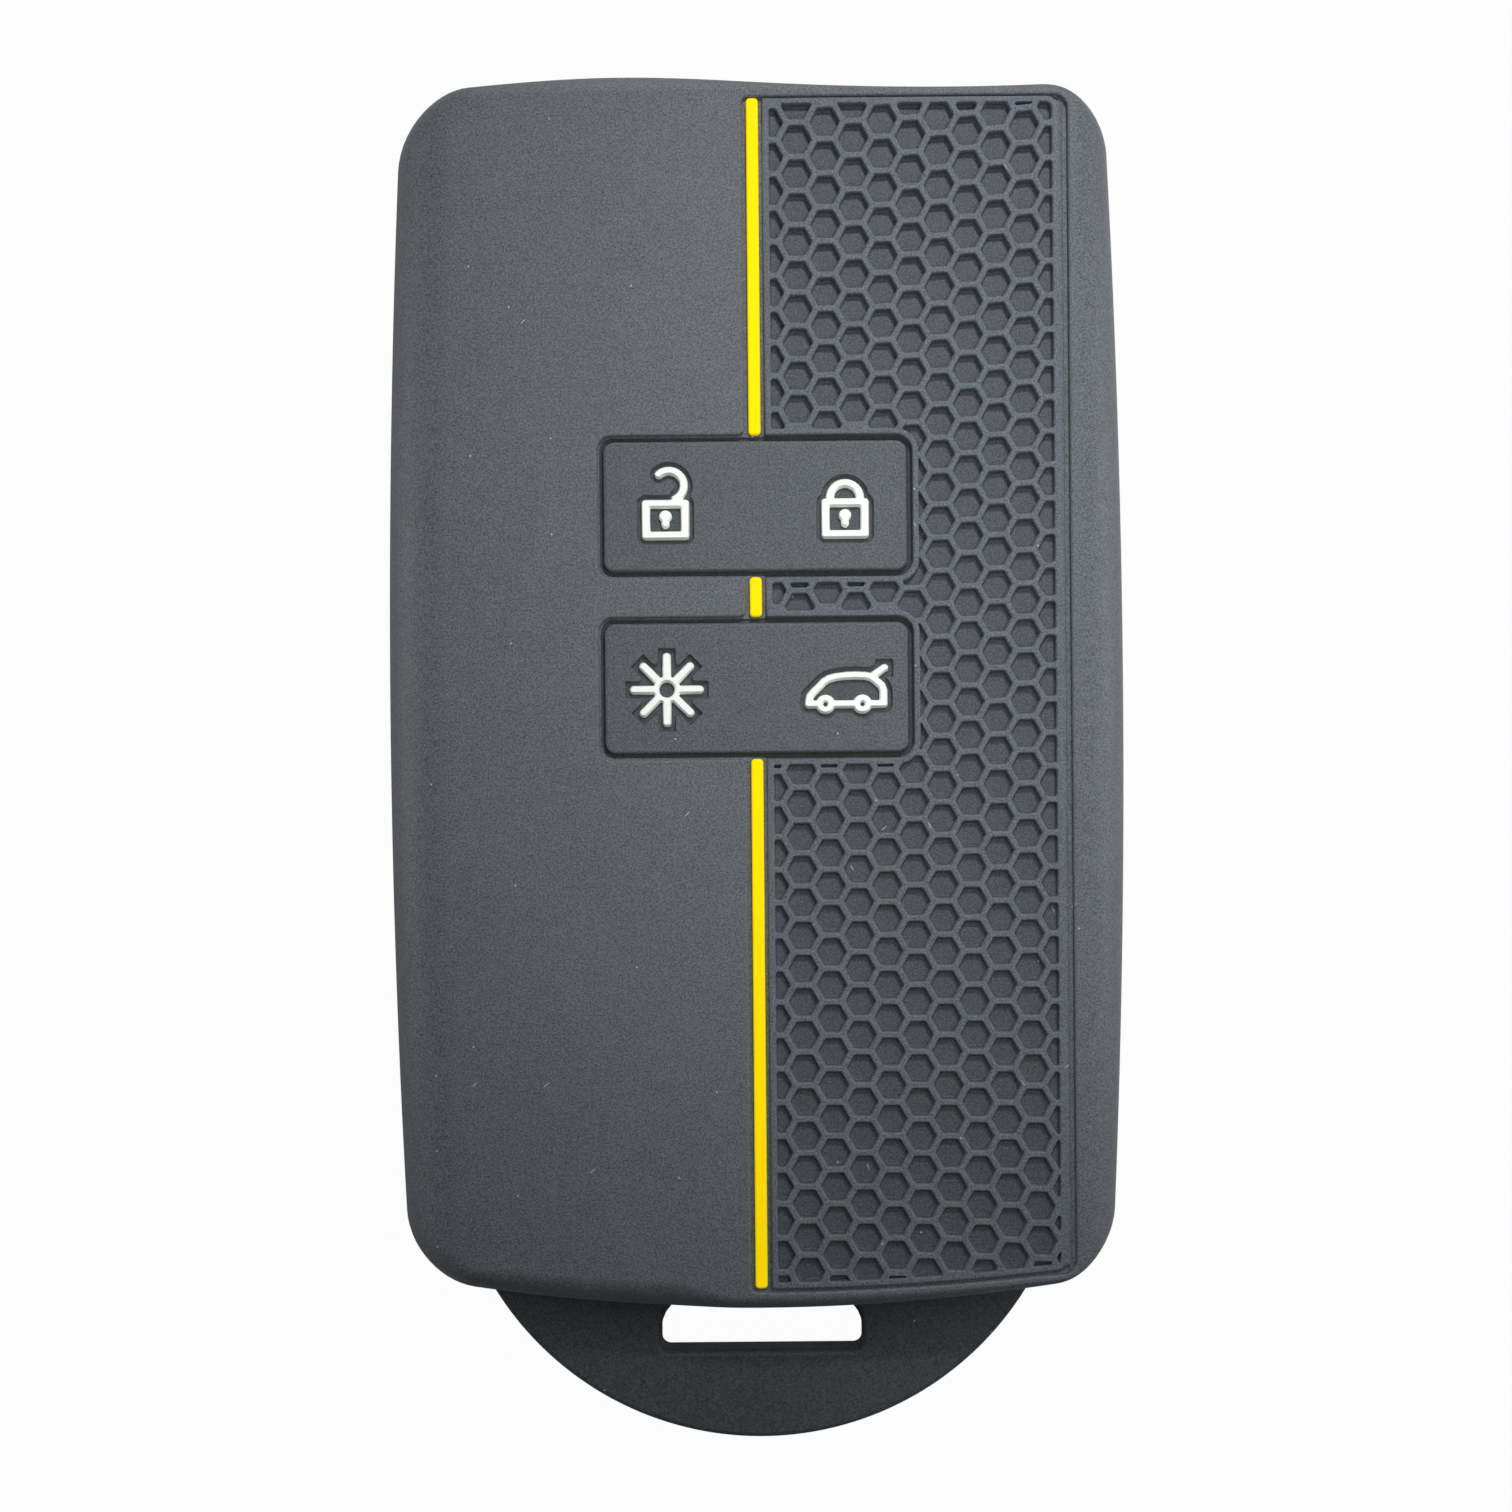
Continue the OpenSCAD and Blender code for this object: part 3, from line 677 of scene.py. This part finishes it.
def dust_mask(paint, finish):
    """Specks and short fibres of pale dust on what faces up, as a mask."""
    flat = {"voronoi_dimensions": "2D"}
    spacing, wave_size = 3 * MM, 2 * MM
    speck_share, fibre_share = 0.022, 0.025
    fibre_cell = (1.2 * MM, 10 * MM, 16 * MM)
    fibre_odds = 0.2
    fibre_turns = (0.5, 2.3)
    sway = (0.25, 0.0, 0.0)
    least_up = 0.8

    def spots(vector, scale, width, channel, odds):
        inputs = {"Vector": vector, "Scale": scale, "Randomness": 1.0}
        near = paint.node("ShaderNodeTexVoronoi", flat, inputs)
        tone = paint.node("ShaderNodeTexVoronoi", flat, inputs, output="Color")
        pick = paint.node("ShaderNodeSeparateColor", {}, {0: tone}, output=channel)
        return (near < width) * (pick > 1.0 - odds)

    mask = spots(paint.place(), 1.0 / spacing, speck_share, 0, finish.dust)
    wave = paint.noise(wave_size, output="Color")
    for channel, turn in enumerate(fibre_turns, start=1):
        lane = paint.node("ShaderNodeVectorMath", {"operation": "MULTIPLY_ADD"},
                          {0: wave, 1: sway, 2: paint.stretched(fibre_cell, turn)})
        mask = mask + spots(lane, 1.0, fibre_share, channel, finish.dust * fibre_odds)
    facing = paint.node("ShaderNodeTexCoord", {}, {}, output="Normal")
    up = paint.node("ShaderNodeSeparateXYZ", {}, {0: facing}, output="Z")
    return mask.clamped() * (up > least_up)


def silicone(name, colour, finish, dusty=True, roughness=0.0, hollow_shade=None):
    """Matt moulded silicone with a fine grain, soft clouding and a little dust; painted shade darkens its
    hollows towards their floors.
    """
    cloud_rough, grain_rough, mean_rough = 0.05, 0.1, 0.08
    pit_share, pit_size = 0.3, finish.grain * 3.1
    paint = Paint(bpy.data.materials.new(name))
    cloud = paint.ramp(paint.noise(finish.cloud, detail=4.0, roughness=0.6), ((0.3, 0.0), (0.7, 1.0)))
    mottle = paint.noise(finish.mottle, detail=3.0, roughness=0.65)
    grain = paint.noise(finish.grain, detail=3.0, roughness=0.7)
    pits = paint.noise(pit_size, detail=2.0)
    speckle = paint.ramp(grain, ((0.35, 0.0), (0.65, 1.0)))
    tone = cloud * finish.cloud_share + mottle * finish.mottle_share + speckle * finish.speckle
    level = 1.0 - (finish.cloud_share + finish.mottle_share + finish.speckle) / 2
    base = paint.scaled(colour, tone + level)
    # Painted shade: the colour grows darker from a height down to the floor of a hollow
    if hollow_shade:
        low, high, floor_shade = hollow_shade
        base = paint.scaled(base, paint.rise(low, high) * (1 - floor_shade) + floor_shade)
    if dusty:
        base = paint.mix(dust_mask(paint, finish) * finish.dust_cover, base, finish.dust_colour)
    rough = cloud * cloud_rough + grain * grain_rough + (finish.roughness + roughness - mean_rough)
    normal = paint.bump(grain * (1 - pit_share) + pits * pit_share, finish.grain_depth)
    return paint.surface(base, rough, normal, IOR=1.41, Sheen_Weight=0.12, Sheen_Roughness=0.5)


def coloured_silicone(name, colour, finish, dirt, sides, top, glow=(0.0, 0.0, 0.0)):
    """Brighter silicone, a little dirty, with painted shade on its sides below its top; glow is painted
    light, an emission that keeps the colour bright where the lamps light it weakly.
    """
    side_shade_fade = top - 0.3 * MM, top - 0.02 * MM
    patch_size, smear_size = 0.6 * MM, 2.2 * MM
    patch_share, smear_share = 0.25, 0.25
    patch_rough, gloss = 0.15, 0.12
    depth_share = 0.7
    paint = Paint(bpy.data.materials.new(name))
    patch = paint.noise(patch_size, detail=3.0, roughness=0.6)
    smear = paint.ramp(paint.noise(smear_size, detail=4.0, roughness=0.7), ((0.45, 0.0), (0.85, 1.0)))
    base = paint.mix(patch * patch_share + smear * smear_share, colour, dirt)
    # Painted shade: below the top, the sides take a duller colour
    base = paint.mix(paint.rise(*side_shade_fade), sides, base)
    rough = patch * patch_rough + (finish.roughness - gloss)
    normal = paint.bump(paint.noise(finish.grain, detail=2.0), finish.grain_depth * depth_share)
    # Painted light: the emission makes the colour glow
    return paint.surface(base, rough, normal, IOR=1.41, Specular_IOR_Level=0.06,
                         Emission_Color=(*glow, 1.0), Emission_Strength=1.0)


# Operators

class PieceOperator:
    """Shared settings of the operators that make pieces."""

    bl_options = {"REGISTER", "UNDO"}

    def execute(self, context):
        """Makes the pieces from the scene's settings."""
        self.build(context.scene.cover_shape, context.scene.cover_finish)
        return {"FINISHED"}


def field_loop(pouch, left, right, far, tab, grow, corner):
    """Outline of the recessed field: channel, honeycomb and the left halves of the two pad recesses."""
    upper, lower = (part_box("pad_web_" + row) for row in ROWS)
    pad_corner = corner * 2
    corners = [(left, far, corner), (left, upper[1].y + grow, corner)]
    for low, high in (upper, lower):
        x = low.x - grow
        corners += [(x, high.y + grow, pad_corner), (x, low.y - grow, pad_corner)]
        corners.append((left, low.y - grow, corner))
        if low.y > lower[1].y:
            corners.append((left, lower[1].y + grow, corner))
    steps = 12
    end = right - corner * 2
    corners.append((left, tab + pouch.tab_rise(left, 1.0), corner))
    corners += [(x, tab + pouch.tab_rise(x, 1.0), 0.0)
                for x in (left + (end - left) * k / steps for k in range(1, steps))]
    corners += [(right, tab + pouch.tab_rise(end, 1.0), corner * 2), (right, far, corner * 2)]
    return rounded(list(reversed(corners)))


class KEYCOVER_OT_pouch(PieceOperator, bpy.types.Operator):
    """Make the pouch: walls, front, recesses, cavity and back lip as one moulding"""

    bl_idname = "key_cover.pouch"
    bl_label = "Pouch"
    flat_strip = 0.03 * MM
    floor_fillet = 0.05 * MM
    under_panel = 0.12 * MM
    # Shares of the roll-off that the cavity follows, and of the lip's half height that its window bulges
    ease = 0.75
    bulge_share = 0.8
    soft = 0.5 * MM
    soft_share = 0.3
    wall_rows = 4

    def build(self, shape, finish):
        """One closed skin: cavity, lip, outer face, recessed field and the openings of the pads."""
        pouch = Pouch(shape)
        solid = Solid()
        web_low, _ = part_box("pad_web_upper")
        lip_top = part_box("back_lip")[1].z
        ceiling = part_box("rocker_pad_upper")[0].z + KNOB_HEIGHT
        panel_low, panel_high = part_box("honeycomb_panel")
        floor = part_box("stripe_upper")[0].z
        field_right = panel_high.x + shape.gutter_side
        flat_right = pouch.half_width - field_right - shape.rim

        rings = self.inside(pouch, shape, solid, ceiling, lip_top)
        rings += self.outside(pouch, shape, solid, flat_right)
        for before, after in zip(rings, rings[1:]):
            solid.bridge(before, after)

        field = field_loop(pouch, -panel_low.x, field_right, panel_high.y + shape.gutter_far,
                           panel_low.y - shape.gutter_tab, 0.0, shape.field_corner)
        profile = round_edge(shape.front_edge, pouch.front) + foot(self.floor_fillet, floor, 0.0)
        walls = solid.walls(field, profile)
        solid.fill([rings[-1], walls[0]])

        hidden = self.under_panel
        inner = field_loop(pouch, panel_low.x + hidden, panel_high.x - hidden, panel_high.y - hidden,
                           panel_low.y + hidden, -hidden, shape.field_corner)
        inner_ring = solid.level(inner, floor)
        solid.fill([walls[-1], inner_ring])
        solid.bridge(solid.level(inner, web_low.z), inner_ring)

        holes = []
        for row in ROWS:
            low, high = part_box("pad_web_" + row)
            hole = list(reversed(rounded_rect(low, high, shape.web_corner)))
            down = solid.walls(hole, [(0.0, floor), (0.0, web_low.z), (0.0, ceiling)])
            holes.append(down[-1])
        solid.fill([rings[0]] + holes, up=False)

        piece = solid.object("cover_moulding",
                             silicone("moulded_front", finish.front, finish))
        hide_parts("cover_shell", "back_lip")
        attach(piece, "cover")

    def inside(self, pouch, shape, solid, ceiling, lip_top):
        """Rings of the cavity, from its ceiling over the lip to the back window."""
        rings = []
        for s, c in reversed(quarter(6)):
            side = shape.wall + shape.roll_width * self.ease * c
            end = shape.wall + shape.far_roll * self.ease * c
            drop = shape.roll_height * self.ease * (1 - s)
            rings.append(pouch.ring(side, side, end, end, ceiling - drop))
        soft, part = self.soft, self.soft * self.soft_share
        rings.append(pouch.even(shape.wall, lip_top + soft))
        rings.append(pouch.even(shape.wall + part, lip_top + part))
        rings.append(pouch.even(shape.wall + soft, lip_top))
        corners = {"far_corner": shape.window_corner, "tab_corner": shape.window_corner}
        side, end = shape.wall + shape.lip_side, shape.wall + shape.lip_end
        half = lip_top / 2
        bulge = half * self.bulge_share
        steps = 8
        for k in range(steps + 1):
            turn = math.pi * k / steps
            inset = bulge * (math.sin(turn) - 1.0)
            z = half + half * math.cos(turn)
            rings.append(pouch.ring(side + inset, side + inset, end + inset, end + inset, z, **corners))
        return [solid.ring(points) for points in rings]

    def outside(self, pouch, shape, solid, flat_right):
        """Rings of the outer face, from the back edge up to the flat of the front."""
        rings = [pouch.even(shape.back_edge * (1 - s), shape.back_edge * c) for s, c in quarter(6)]
        shoulder = pouch.front - shape.roll_height
        wall = shoulder - shape.back_edge
        for k in range(1, self.wall_rows):
            rings.append(pouch.even(0.0, shape.back_edge + wall * k / self.wall_rows))
        outer = pouch.even(0.0, 0.0)
        tight = {"far_corner": shape.flat_corner, "tab_corner": shape.flat_corner, "straight_right": True,
                 "flat": 1.0}
        flat = pouch.ring(shape.roll_width, flat_right, shape.far_roll, shape.tab_roll, 0.0, **tight)
        steps = 16
        crowding = 1.5
        for k in range(steps + 1):
            turn = math.pi / 2 * (1 - (1 - k / steps) ** crowding)
            z = shoulder + shape.roll_height * math.sin(turn)
            rings.append([a.lerp(b, 1 - math.cos(turn)) + Vector((0, 0, z)) for a, b in zip(outer, flat)])
        inset = self.flat_strip
        level = pouch.ring(shape.roll_width + inset, flat_right + inset, shape.far_roll + inset,
                           shape.tab_roll + inset, pouch.front, **tight)
        rings.append(level)
        return [solid.ring(points) for points in rings]


class KEYCOVER_OT_honeycomb(PieceOperator, bpy.types.Operator):
    """Make the honeycomb panel, with its frame and the floors of its cells"""

    bl_idname = "key_cover.honeycomb"
    bl_label = "Honeycomb"
    foot_radius = 0.1 * MM
    outer_flare = 0.05 * MM
    least_share = 1.25
    fill_share = 0.75
    # Painted shade in the cells: height of the fade from the floors of the cells, and their share of the
    # colour
    hollow_shade = 0.1 * MM, 0.65

    def build(self, shape, finish):
        """The top with its cells; the outer wall slopes into the gutter at the side."""
        low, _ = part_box("honeycomb_panel")
        loops, top = top_loops("honeycomb_panel")
        slope = shape.gutter_side / 2
        sideways = 0.9
        solid = Solid()

        def lean(n, fall):
            return slope * fall if n.x > sideways else 0.0

        tops = []
        for loop in loops:
            if loop is loops[0]:
                profile = round_edge(shape.cell_edge, top) + [(self.outer_flare, low.z)]
                tops.append(solid.walls(loop, profile, lean=lean)[0])
                continue
            size = inradius(loop)
            if size < shape.cell_edge * self.least_share:
                continue
            spread = shape.cell_edge + shape.cell_draft + self.foot_radius
            limit = min(1.0, self.fill_share * size / spread)
            loop = softened(loop, min(shape.cell_corner, size / 2))
            profile = round_edge(shape.cell_edge * limit, top)
            profile += foot(self.foot_radius * limit, low.z, shape.cell_draft * limit)
            walls = solid.walls(loop, profile)
            tops.append(walls[0])
            solid.fill([walls[-1]])
        solid.fill(tops)
        fade, floor_shade = self.hollow_shade
        material = silicone("moulded_honeycomb", finish.honeycomb, finish, roughness=0.03,
                            hollow_shade=(low.z + fade, top, floor_shade))
        piece = solid.object("honeycomb", material)
        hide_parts("honeycomb_panel")
        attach(piece, "cover")


class KEYCOVER_OT_pads(PieceOperator, bpy.types.Operator):
    """Make the two rocker pads, with the symbols' pockets and the pressing knobs"""

    bl_idname = "key_cover.pads"
    bl_label = "Rocker Pads"
    bend_radius = 0.4 * MM
    pocket_bend = 0.1 * MM
    pocket_foot = 0.06 * MM
    pocket_draft = 0.02 * MM
    # Painted shade: share of the colour that the floors of the symbols' pockets keep
    pocket_shade = 0.7
    # Radius and height above its end at each step of a knob
    knob = ((2.5 * MM, KNOB_HEIGHT), (2.3 * MM, 0.42 * MM), (2.2 * MM, 0.2 * MM), (2.05 * MM, 0.05 * MM),
            (1.8 * MM, 0.0))

    def build(self, shape, finish):
        """Each pad with rounded edges, and its pockets cut from the outlines of its node."""
        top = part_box("rocker_pad_upper")[1].z
        material = silicone("moulded_pads", finish.pad, finish,
                            hollow_shade=(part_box("unlock_icon")[0].z, top - shape.pocket_edge, self.pocket_shade))
        for row, symbols in ROWS.items():
            node = "rocker_pad_" + row
            low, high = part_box(node)
            loops, top = top_loops(node)
            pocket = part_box(symbols[0])[0].z
            under = low.z + KNOB_HEIGHT
            solid = Solid()
            tops = []
            for loop in loops:
                if loop is loops[0]:
                    profile = round_edge(shape.pad_edge, top) + [(0.0, under + shape.pad_edge)]
                    profile += [(-shape.pad_edge, under)]
                    walls = solid.walls(softened(loop, self.bend_radius), profile)
                    solid.fill([walls[-1]], up=False)
                else:
                    profile = round_edge(shape.pocket_edge, top)
                    profile += foot(self.pocket_foot, pocket, self.pocket_draft)
                    walls = solid.walls(softened(loop, self.pocket_bend), profile)
                    solid.fill([walls[-1]])
                tops.append(walls[0])
            solid.fill(tops)
            for name in (symbols[0], symbols[-1]):
                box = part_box(name)
                middle = Vector(((box[0].x + box[1].x) / 2, (low.y + high.y) / 2, 0))
                solid.revolve(middle, [(radius, low.z + height) for radius, height in self.knob])
            piece = solid.object("rocker_pad_finish_" + row, material)
            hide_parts(node)
            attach(piece, row + "_rocker")


class KEYCOVER_OT_webs(PieceOperator, bpy.types.Operator):
    """Make the thin webs round the pads, one strip to a side"""

    bl_idname = "key_cover.webs"
    bl_label = "Pad Webs"
    sag = 0.1 * MM
    across = 6

    def build(self, shape, finish):
        """Four strips round each pad, each blended from the cover to the pad."""
        # Painted shade: the dark web colour stands for the shade in the gutters
        material = silicone("moulded_webs", finish.web, finish, dusty=False, roughness=0.1)
        for row in ROWS:
            low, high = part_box("pad_web_" + row)
            pad_low, pad_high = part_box("rocker_pad_" + row)
            steps = 6
            outer = rounded_rect(low, high, shape.web_corner, steps)
            inner = rounded_rect(pad_low, pad_high, shape.pad_corner, steps)
            sides = {"near": (0, low.y, pad_low.y), "right": (1, high.x, pad_high.x),
                     "far": (2, high.y, pad_high.y), "left": (3, low.x, pad_low.x)}
            for side, (index, out, into) in sides.items():
                first = index * (steps + 1) + steps // 2
                picked = [(first + k) % len(outer) for k in range(steps + 2)]
                piece = self.strip([outer[i] for i in picked], [inner[i] for i in picked], low.z, high.z,
                                   "web_{}_{}".format(row, side), material)
                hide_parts("pad_web_" + row)
                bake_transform(piece)

    def strip(self, outer, inner, bottom, top, name, material):
        """One side of a web: hollow on top, flat below, from the recess to the pad."""
        solid = Solid()
        shares = [k / self.across for k in range(self.across + 1)]
        levels = [(u, top - self.sag * math.sin(math.pi * u)) for u in shares]
        levels += [(1.0, bottom), (0.0, bottom)]
        rows = [solid.level([a.lerp(b, u) for a, b in zip(outer, inner)], z) for u, z in levels]
        for before, after in edges(rows):
            for i in range(len(before) - 1):
                solid.bm.faces.new((before[i], before[i + 1], after[i + 1], after[i])).smooth = True
        return solid.object(name, material)


class KEYCOVER_OT_symbols(PieceOperator, bpy.types.Operator):
    """Make the white symbols that stand in the pads' pockets"""

    bl_idname = "key_cover.symbols"
    bl_label = "Symbols"
    corner = 0.1 * MM

    def build(self, shape, finish):
        """Every symbol on the body of its pad."""
        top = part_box("unlock_icon")[1].z
        material = coloured_silicone("white_symbols", finish.white, finish, finish.white_dirt,
                                     finish.white_side_shade, top)
        for row, symbols in ROWS.items():
            for node in symbols:
                raised_piece(node + "_finish", node, row + "_rocker", material,
                             edge=shape.symbol_edge, draft=shape.symbol_draft, near=shape.symbol_near,
                             corner=self.corner)


class KEYCOVER_OT_line(PieceOperator, bpy.types.Operator):
    """Make the three lengths of the yellow line"""

    bl_idname = "key_cover.line"
    bl_label = "Yellow Line"
    draft = 0.03 * MM

    def build(self, shape, finish):
        """Every length of the line on the cover."""
        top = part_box(STRIPES[0])[1].z
        material = coloured_silicone("yellow_line", finish.yellow, finish, finish.yellow_dirt,
                                     finish.yellow_side_shade, top, glow=finish.yellow_painted_glow)
        for node in STRIPES:
            raised_piece(node + "_finish", node, "cover", material,
                         edge=shape.line_edge, draft=self.draft)


class KEYCOVER_OT_tab(PieceOperator, bpy.types.Operator):
    """Make the key-ring tab and its root as one piece that bends"""

    bl_idname = "key_cover.tab"
    bl_label = "Key-Ring Tab"
    # Depth to which the tab's ends are sunk in the wall of the pouch, and their spread there
    sunk = 1.0 * MM
    spread = 1.2 * MM
    bend_rows = 8
    edge_steps = 5

    def build(self, shape, finish):
        """A plate with rounded edges, cut into rows where it bends."""
        pouch = Pouch(shape)
        low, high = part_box("keyring_tab")
        root_low, root_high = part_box("tab_root")
        loop = self.outline(pouch, shape, low, root_low, root_high)
        least_far = 0.1
        solid = Solid()

        def edge(n):
            return shape.slot_edge if n.y > least_far else shape.tab_edge

        top = [(s - 1, c) for s, c in quarter(self.edge_steps)]
        levels = [(d, high.z, -z) for d, z in top] + [(d, low.z, z) for d, z in reversed(top)]
        found = normals(loop)
        rings = []
        for d, z, drop in levels:
            rings.append(solid.ring([(p + n * k * edge(n) * d).to_3d() + Vector((0, 0, z + drop * edge(n)))
                                     for p, (n, k) in zip(loop, found)]))
        for upper, lower in zip(rings, rings[1:]):
            solid.bridge(lower, upper)
        solid.fill([rings[0]])
        solid.fill([rings[-1]], up=False)
        for k in range(self.bend_rows + 1):
            cut = Vector((0, root_low.y + (pouch.tab_y - root_low.y) * k / self.bend_rows, 0))
            bmesh.ops.bisect_plane(solid.bm, geom=solid.bm.verts[:] + solid.bm.edges[:] + solid.bm.faces[:],
                                   plane_co=cut, plane_no=(0, 1, 0))
        # Painted shade: the tab's darker colour stands for the shade below the pouch
        piece = solid.object("ring_tab_finish", silicone("moulded_tab", finish.tab, finish))
        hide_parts("keyring_tab", "tab_root")
        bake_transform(piece)

    def outline(self, pouch, shape, low, root_low, root_high):
        """Round edge of the tab, its ends sunk in the wall of the pouch, with the open slot."""
        half = (root_high.x - root_low.x) / 2
        slot_x = shape.slot_half
        slot_y = pouch.tab_y - shape.slot_width
        radius = shape.tab_radius
        centre = Vector((0, low.y + radius))
        sunk = pouch.tab_y + self.sunk
        points = []
        top = math.acos(min(half / radius, 1.0))
        steps = 96
        for k in range(steps + 1):
            turn = math.pi + top + (math.pi - 2 * top) * k / steps
            points.append(centre + radius * Vector((math.cos(turn), math.sin(turn))))
        ends = points[-1].x, points[0].x
        corners = [(p.x, p.y, 0.0) for p in points]
        fillet = shape.slot_fillet
        inner = [(slot_x - fillet * c, pouch.tab_y + fillet * (s - 1), 0.0) for s, c in reversed(quarter(6))]
        right = [(slot_x - fillet, sunk, 0.0), *inner, (slot_x, slot_y, shape.slot_corner)]
        left = [(-x, y, r) for x, y, r in reversed(right)]
        corners += [(ends[0] - self.spread, sunk + pouch.tab_rise(half), 0.0), *right, *left,
                    (ends[1] + self.spread, sunk + pouch.tab_rise(half), 0.0)]
        return rounded(corners)


class KEYCOVER_OT_stage(bpy.types.Operator):
    """Make the floor, the light and the camera"""

    bl_idname = "key_cover.stage"
    bl_label = "Stage"
    bl_options = {"REGISTER", "UNDO"}

    # Place, aim, size and power setting of each soft lamp
    lamps = {
        "soft_lamp": ((0.028, 0.008, 0.1), (0.028, 0.008, 0.0), 0.1, "soft_power"),
        "right_lamp": ((0.18, 0.02, 0.05), (0.0, 0.0, 0.01), 0.08, "right_power"),
        "left_lamp": ((-0.18, 0.02, 0.05), (0.0, 0.0, 0.01), 0.08, "left_power"),
        "far_lamp": ((0.0, 0.2, 0.03), (0.0, 0.05, 0.01), 0.08, "far_power"),
        "under_lamp": ((0.0, 0.0, -0.45), (0.0, 0.0, 0.0), 0.5, "under_power"),
    }
    key_place = (0.071, 0.245, 0.32)
    key_aim = (0.018, 0.034, 0.0)
    floor_half = 1.5
    floor_z = -0.02 * MM
    floor_gap = 0.1 * MM

    def execute(self, context):
        """Makes the stage from the scene's settings."""
        scene, stage = context.scene, context.scene.cover_stage
        self.floor(scene, stage)
        self.key(stage)
        for name, (place, aim, size, setting) in self.lamps.items():
            data = bpy.data.lights.new(name, "AREA")
            data.size = size
            data.energy = getattr(stage, setting)
            self.hang(data, place, aim)
        self.sky(scene, stage)
        self.camera(scene, stage)
        return {"FINISHED"}

    def floor(self, scene, stage):
        """A plain pale floor that keeps the cover's shadow; under the cover it is open, to light the back."""
        paint = Paint(bpy.data.materials.new("pale_floor"))
        given_back = [part * stage.floor_bounce for part in stage.floor]
        diffuse = paint.node("ShaderNodeBsdfDiffuse", {}, {"Color": (*given_back, 1.0)})
        plain = paint.node("ShaderNodeEmission", {}, {"Color": (*stage.floor, 1.0), "Strength": 1.0})
        seen = paint.node("ShaderNodeLightPath", {}, {}, output="Is Camera Ray")
        below = paint.node("ShaderNodeNewGeometry", {}, {}, output="Backfacing")
        clear = paint.node("ShaderNodeBsdfTransparent", {}, {})
        shown = paint.shown(below, paint.shown(seen * stage.floor_glow, diffuse, plain), clear)
        paint.node("ShaderNodeOutputMaterial", {}, {"Surface": shown})
        shape = scene.cover_shape
        half, z = self.floor_half, self.floor_z
        solid = Solid()
        edge = solid.level(rounded_rect((-half, -half), (half, half), 0.0), z)
        solid.fill([edge, solid.ring(Pouch(shape).even(shape.back_edge + self.floor_gap, z))])
        solid.object("floor", paint.owner)

    def key(self, stage):
        """A round lamp with a soft cone, high beyond the far end; it draws the cells' shadows."""
        data = bpy.data.lights.new("key_lamp", "SPOT")
        data.spot_size = stage.key_cone
        data.spot_blend = 1.0
        data.shadow_soft_size = stage.key_radius
        data.energy = stage.key_power
        self.hang(data, self.key_place, self.key_aim)

    def hang(self, data, place, aim):
        """Puts a lamp at its place, out of the camera's sight."""
        lamp = bpy.data.objects.new(data.name, data)
        lamp.location = place
        lamp.rotation_euler = (Vector(aim) - Vector(place)).to_track_quat("-Z", "Y").to_euler()
        lamp.visible_camera = False
        bpy.context.scene.collection.objects.link(lamp)

    def sky(self, scene, stage):
        """Even light from all round; the camera sees the plain colour of the floor."""
        scene.world = bpy.data.worlds.new("studio")
        paint = Paint(scene.world)
        seen = paint.node("ShaderNodeLightPath", {}, {}, output="Is Camera Ray")
        around = paint.node("ShaderNodeBackground", {}, {"Color": (*WHITE, 1.0), "Strength": stage.sky})
        plain = paint.node("ShaderNodeBackground", {}, {"Color": (*stage.floor, 1.0)})
        paint.node("ShaderNodeOutputWorld", {}, {"Surface": paint.shown(seen, around, plain)})

    def camera(self, scene, stage):
        """A lens straight above the cover, at the photograph's distance."""
        data = bpy.data.cameras.new("camera")
        data.sensor_width = 36.0
        data.lens = data.sensor_width * stage.lens_height / stage.field
        data.clip_start = 0.01
        camera = bpy.data.objects.new("camera", data)
        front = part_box("cover_shell")[1].z
        camera.location = (stage.aim_x, stage.aim_y, front + stage.lens_height)
        camera.rotation_euler = (0.0, 0.0, stage.roll)
        scene.collection.objects.link(camera)
        scene.camera = camera
        scene.view_settings.view_transform = "Standard"


OPERATORS = (KEYCOVER_OT_pouch, KEYCOVER_OT_honeycomb, KEYCOVER_OT_pads, KEYCOVER_OT_webs,
             KEYCOVER_OT_symbols, KEYCOVER_OT_line, KEYCOVER_OT_tab, KEYCOVER_OT_stage)


class KEYCOVER_PT_panel(bpy.types.Panel):
    """Buttons and settings of the key cover"""

    bl_idname = "KEYCOVER_PT_panel"
    bl_label = "Key Cover"
    bl_space_type = "VIEW_3D"
    bl_region_type = "UI"
    bl_category = "Key Cover"

    def draw(self, context):
        """Lists the operators, then the settings."""
        for operator in OPERATORS:
            self.layout.operator(operator.bl_idname)
        for name, group in SETTINGS.items():
            box = self.layout.box()
            settings = getattr(context.scene, name)
            for key in group.__annotations__:
                box.prop(settings, key)


CLASSES = (*SETTINGS.values(), *OPERATORS, KEYCOVER_PT_panel)


def register():
    """Registers the classes and hangs the settings on the scene."""
    for cls in CLASSES:
        bpy.utils.register_class(cls)
    for name, group in SETTINGS.items():
        setattr(bpy.types.Scene, name, bpy.props.PointerProperty(type=group))


def unregister():
    """Takes the settings and the classes away."""
    for name in SETTINGS:
        delattr(bpy.types.Scene, name)
    for cls in reversed(CLASSES):
        bpy.utils.unregister_class(cls)


def main():
    """Builds every piece and the stage."""
    register()
    bpy.ops.key_cover.pouch()
    bpy.ops.key_cover.honeycomb()
    bpy.ops.key_cover.pads()
    bpy.ops.key_cover.webs()
    bpy.ops.key_cover.symbols()
    bpy.ops.key_cover.line()
    bpy.ops.key_cover.tab()
    bpy.ops.key_cover.stage()


if __name__ == "__main__":
    main()
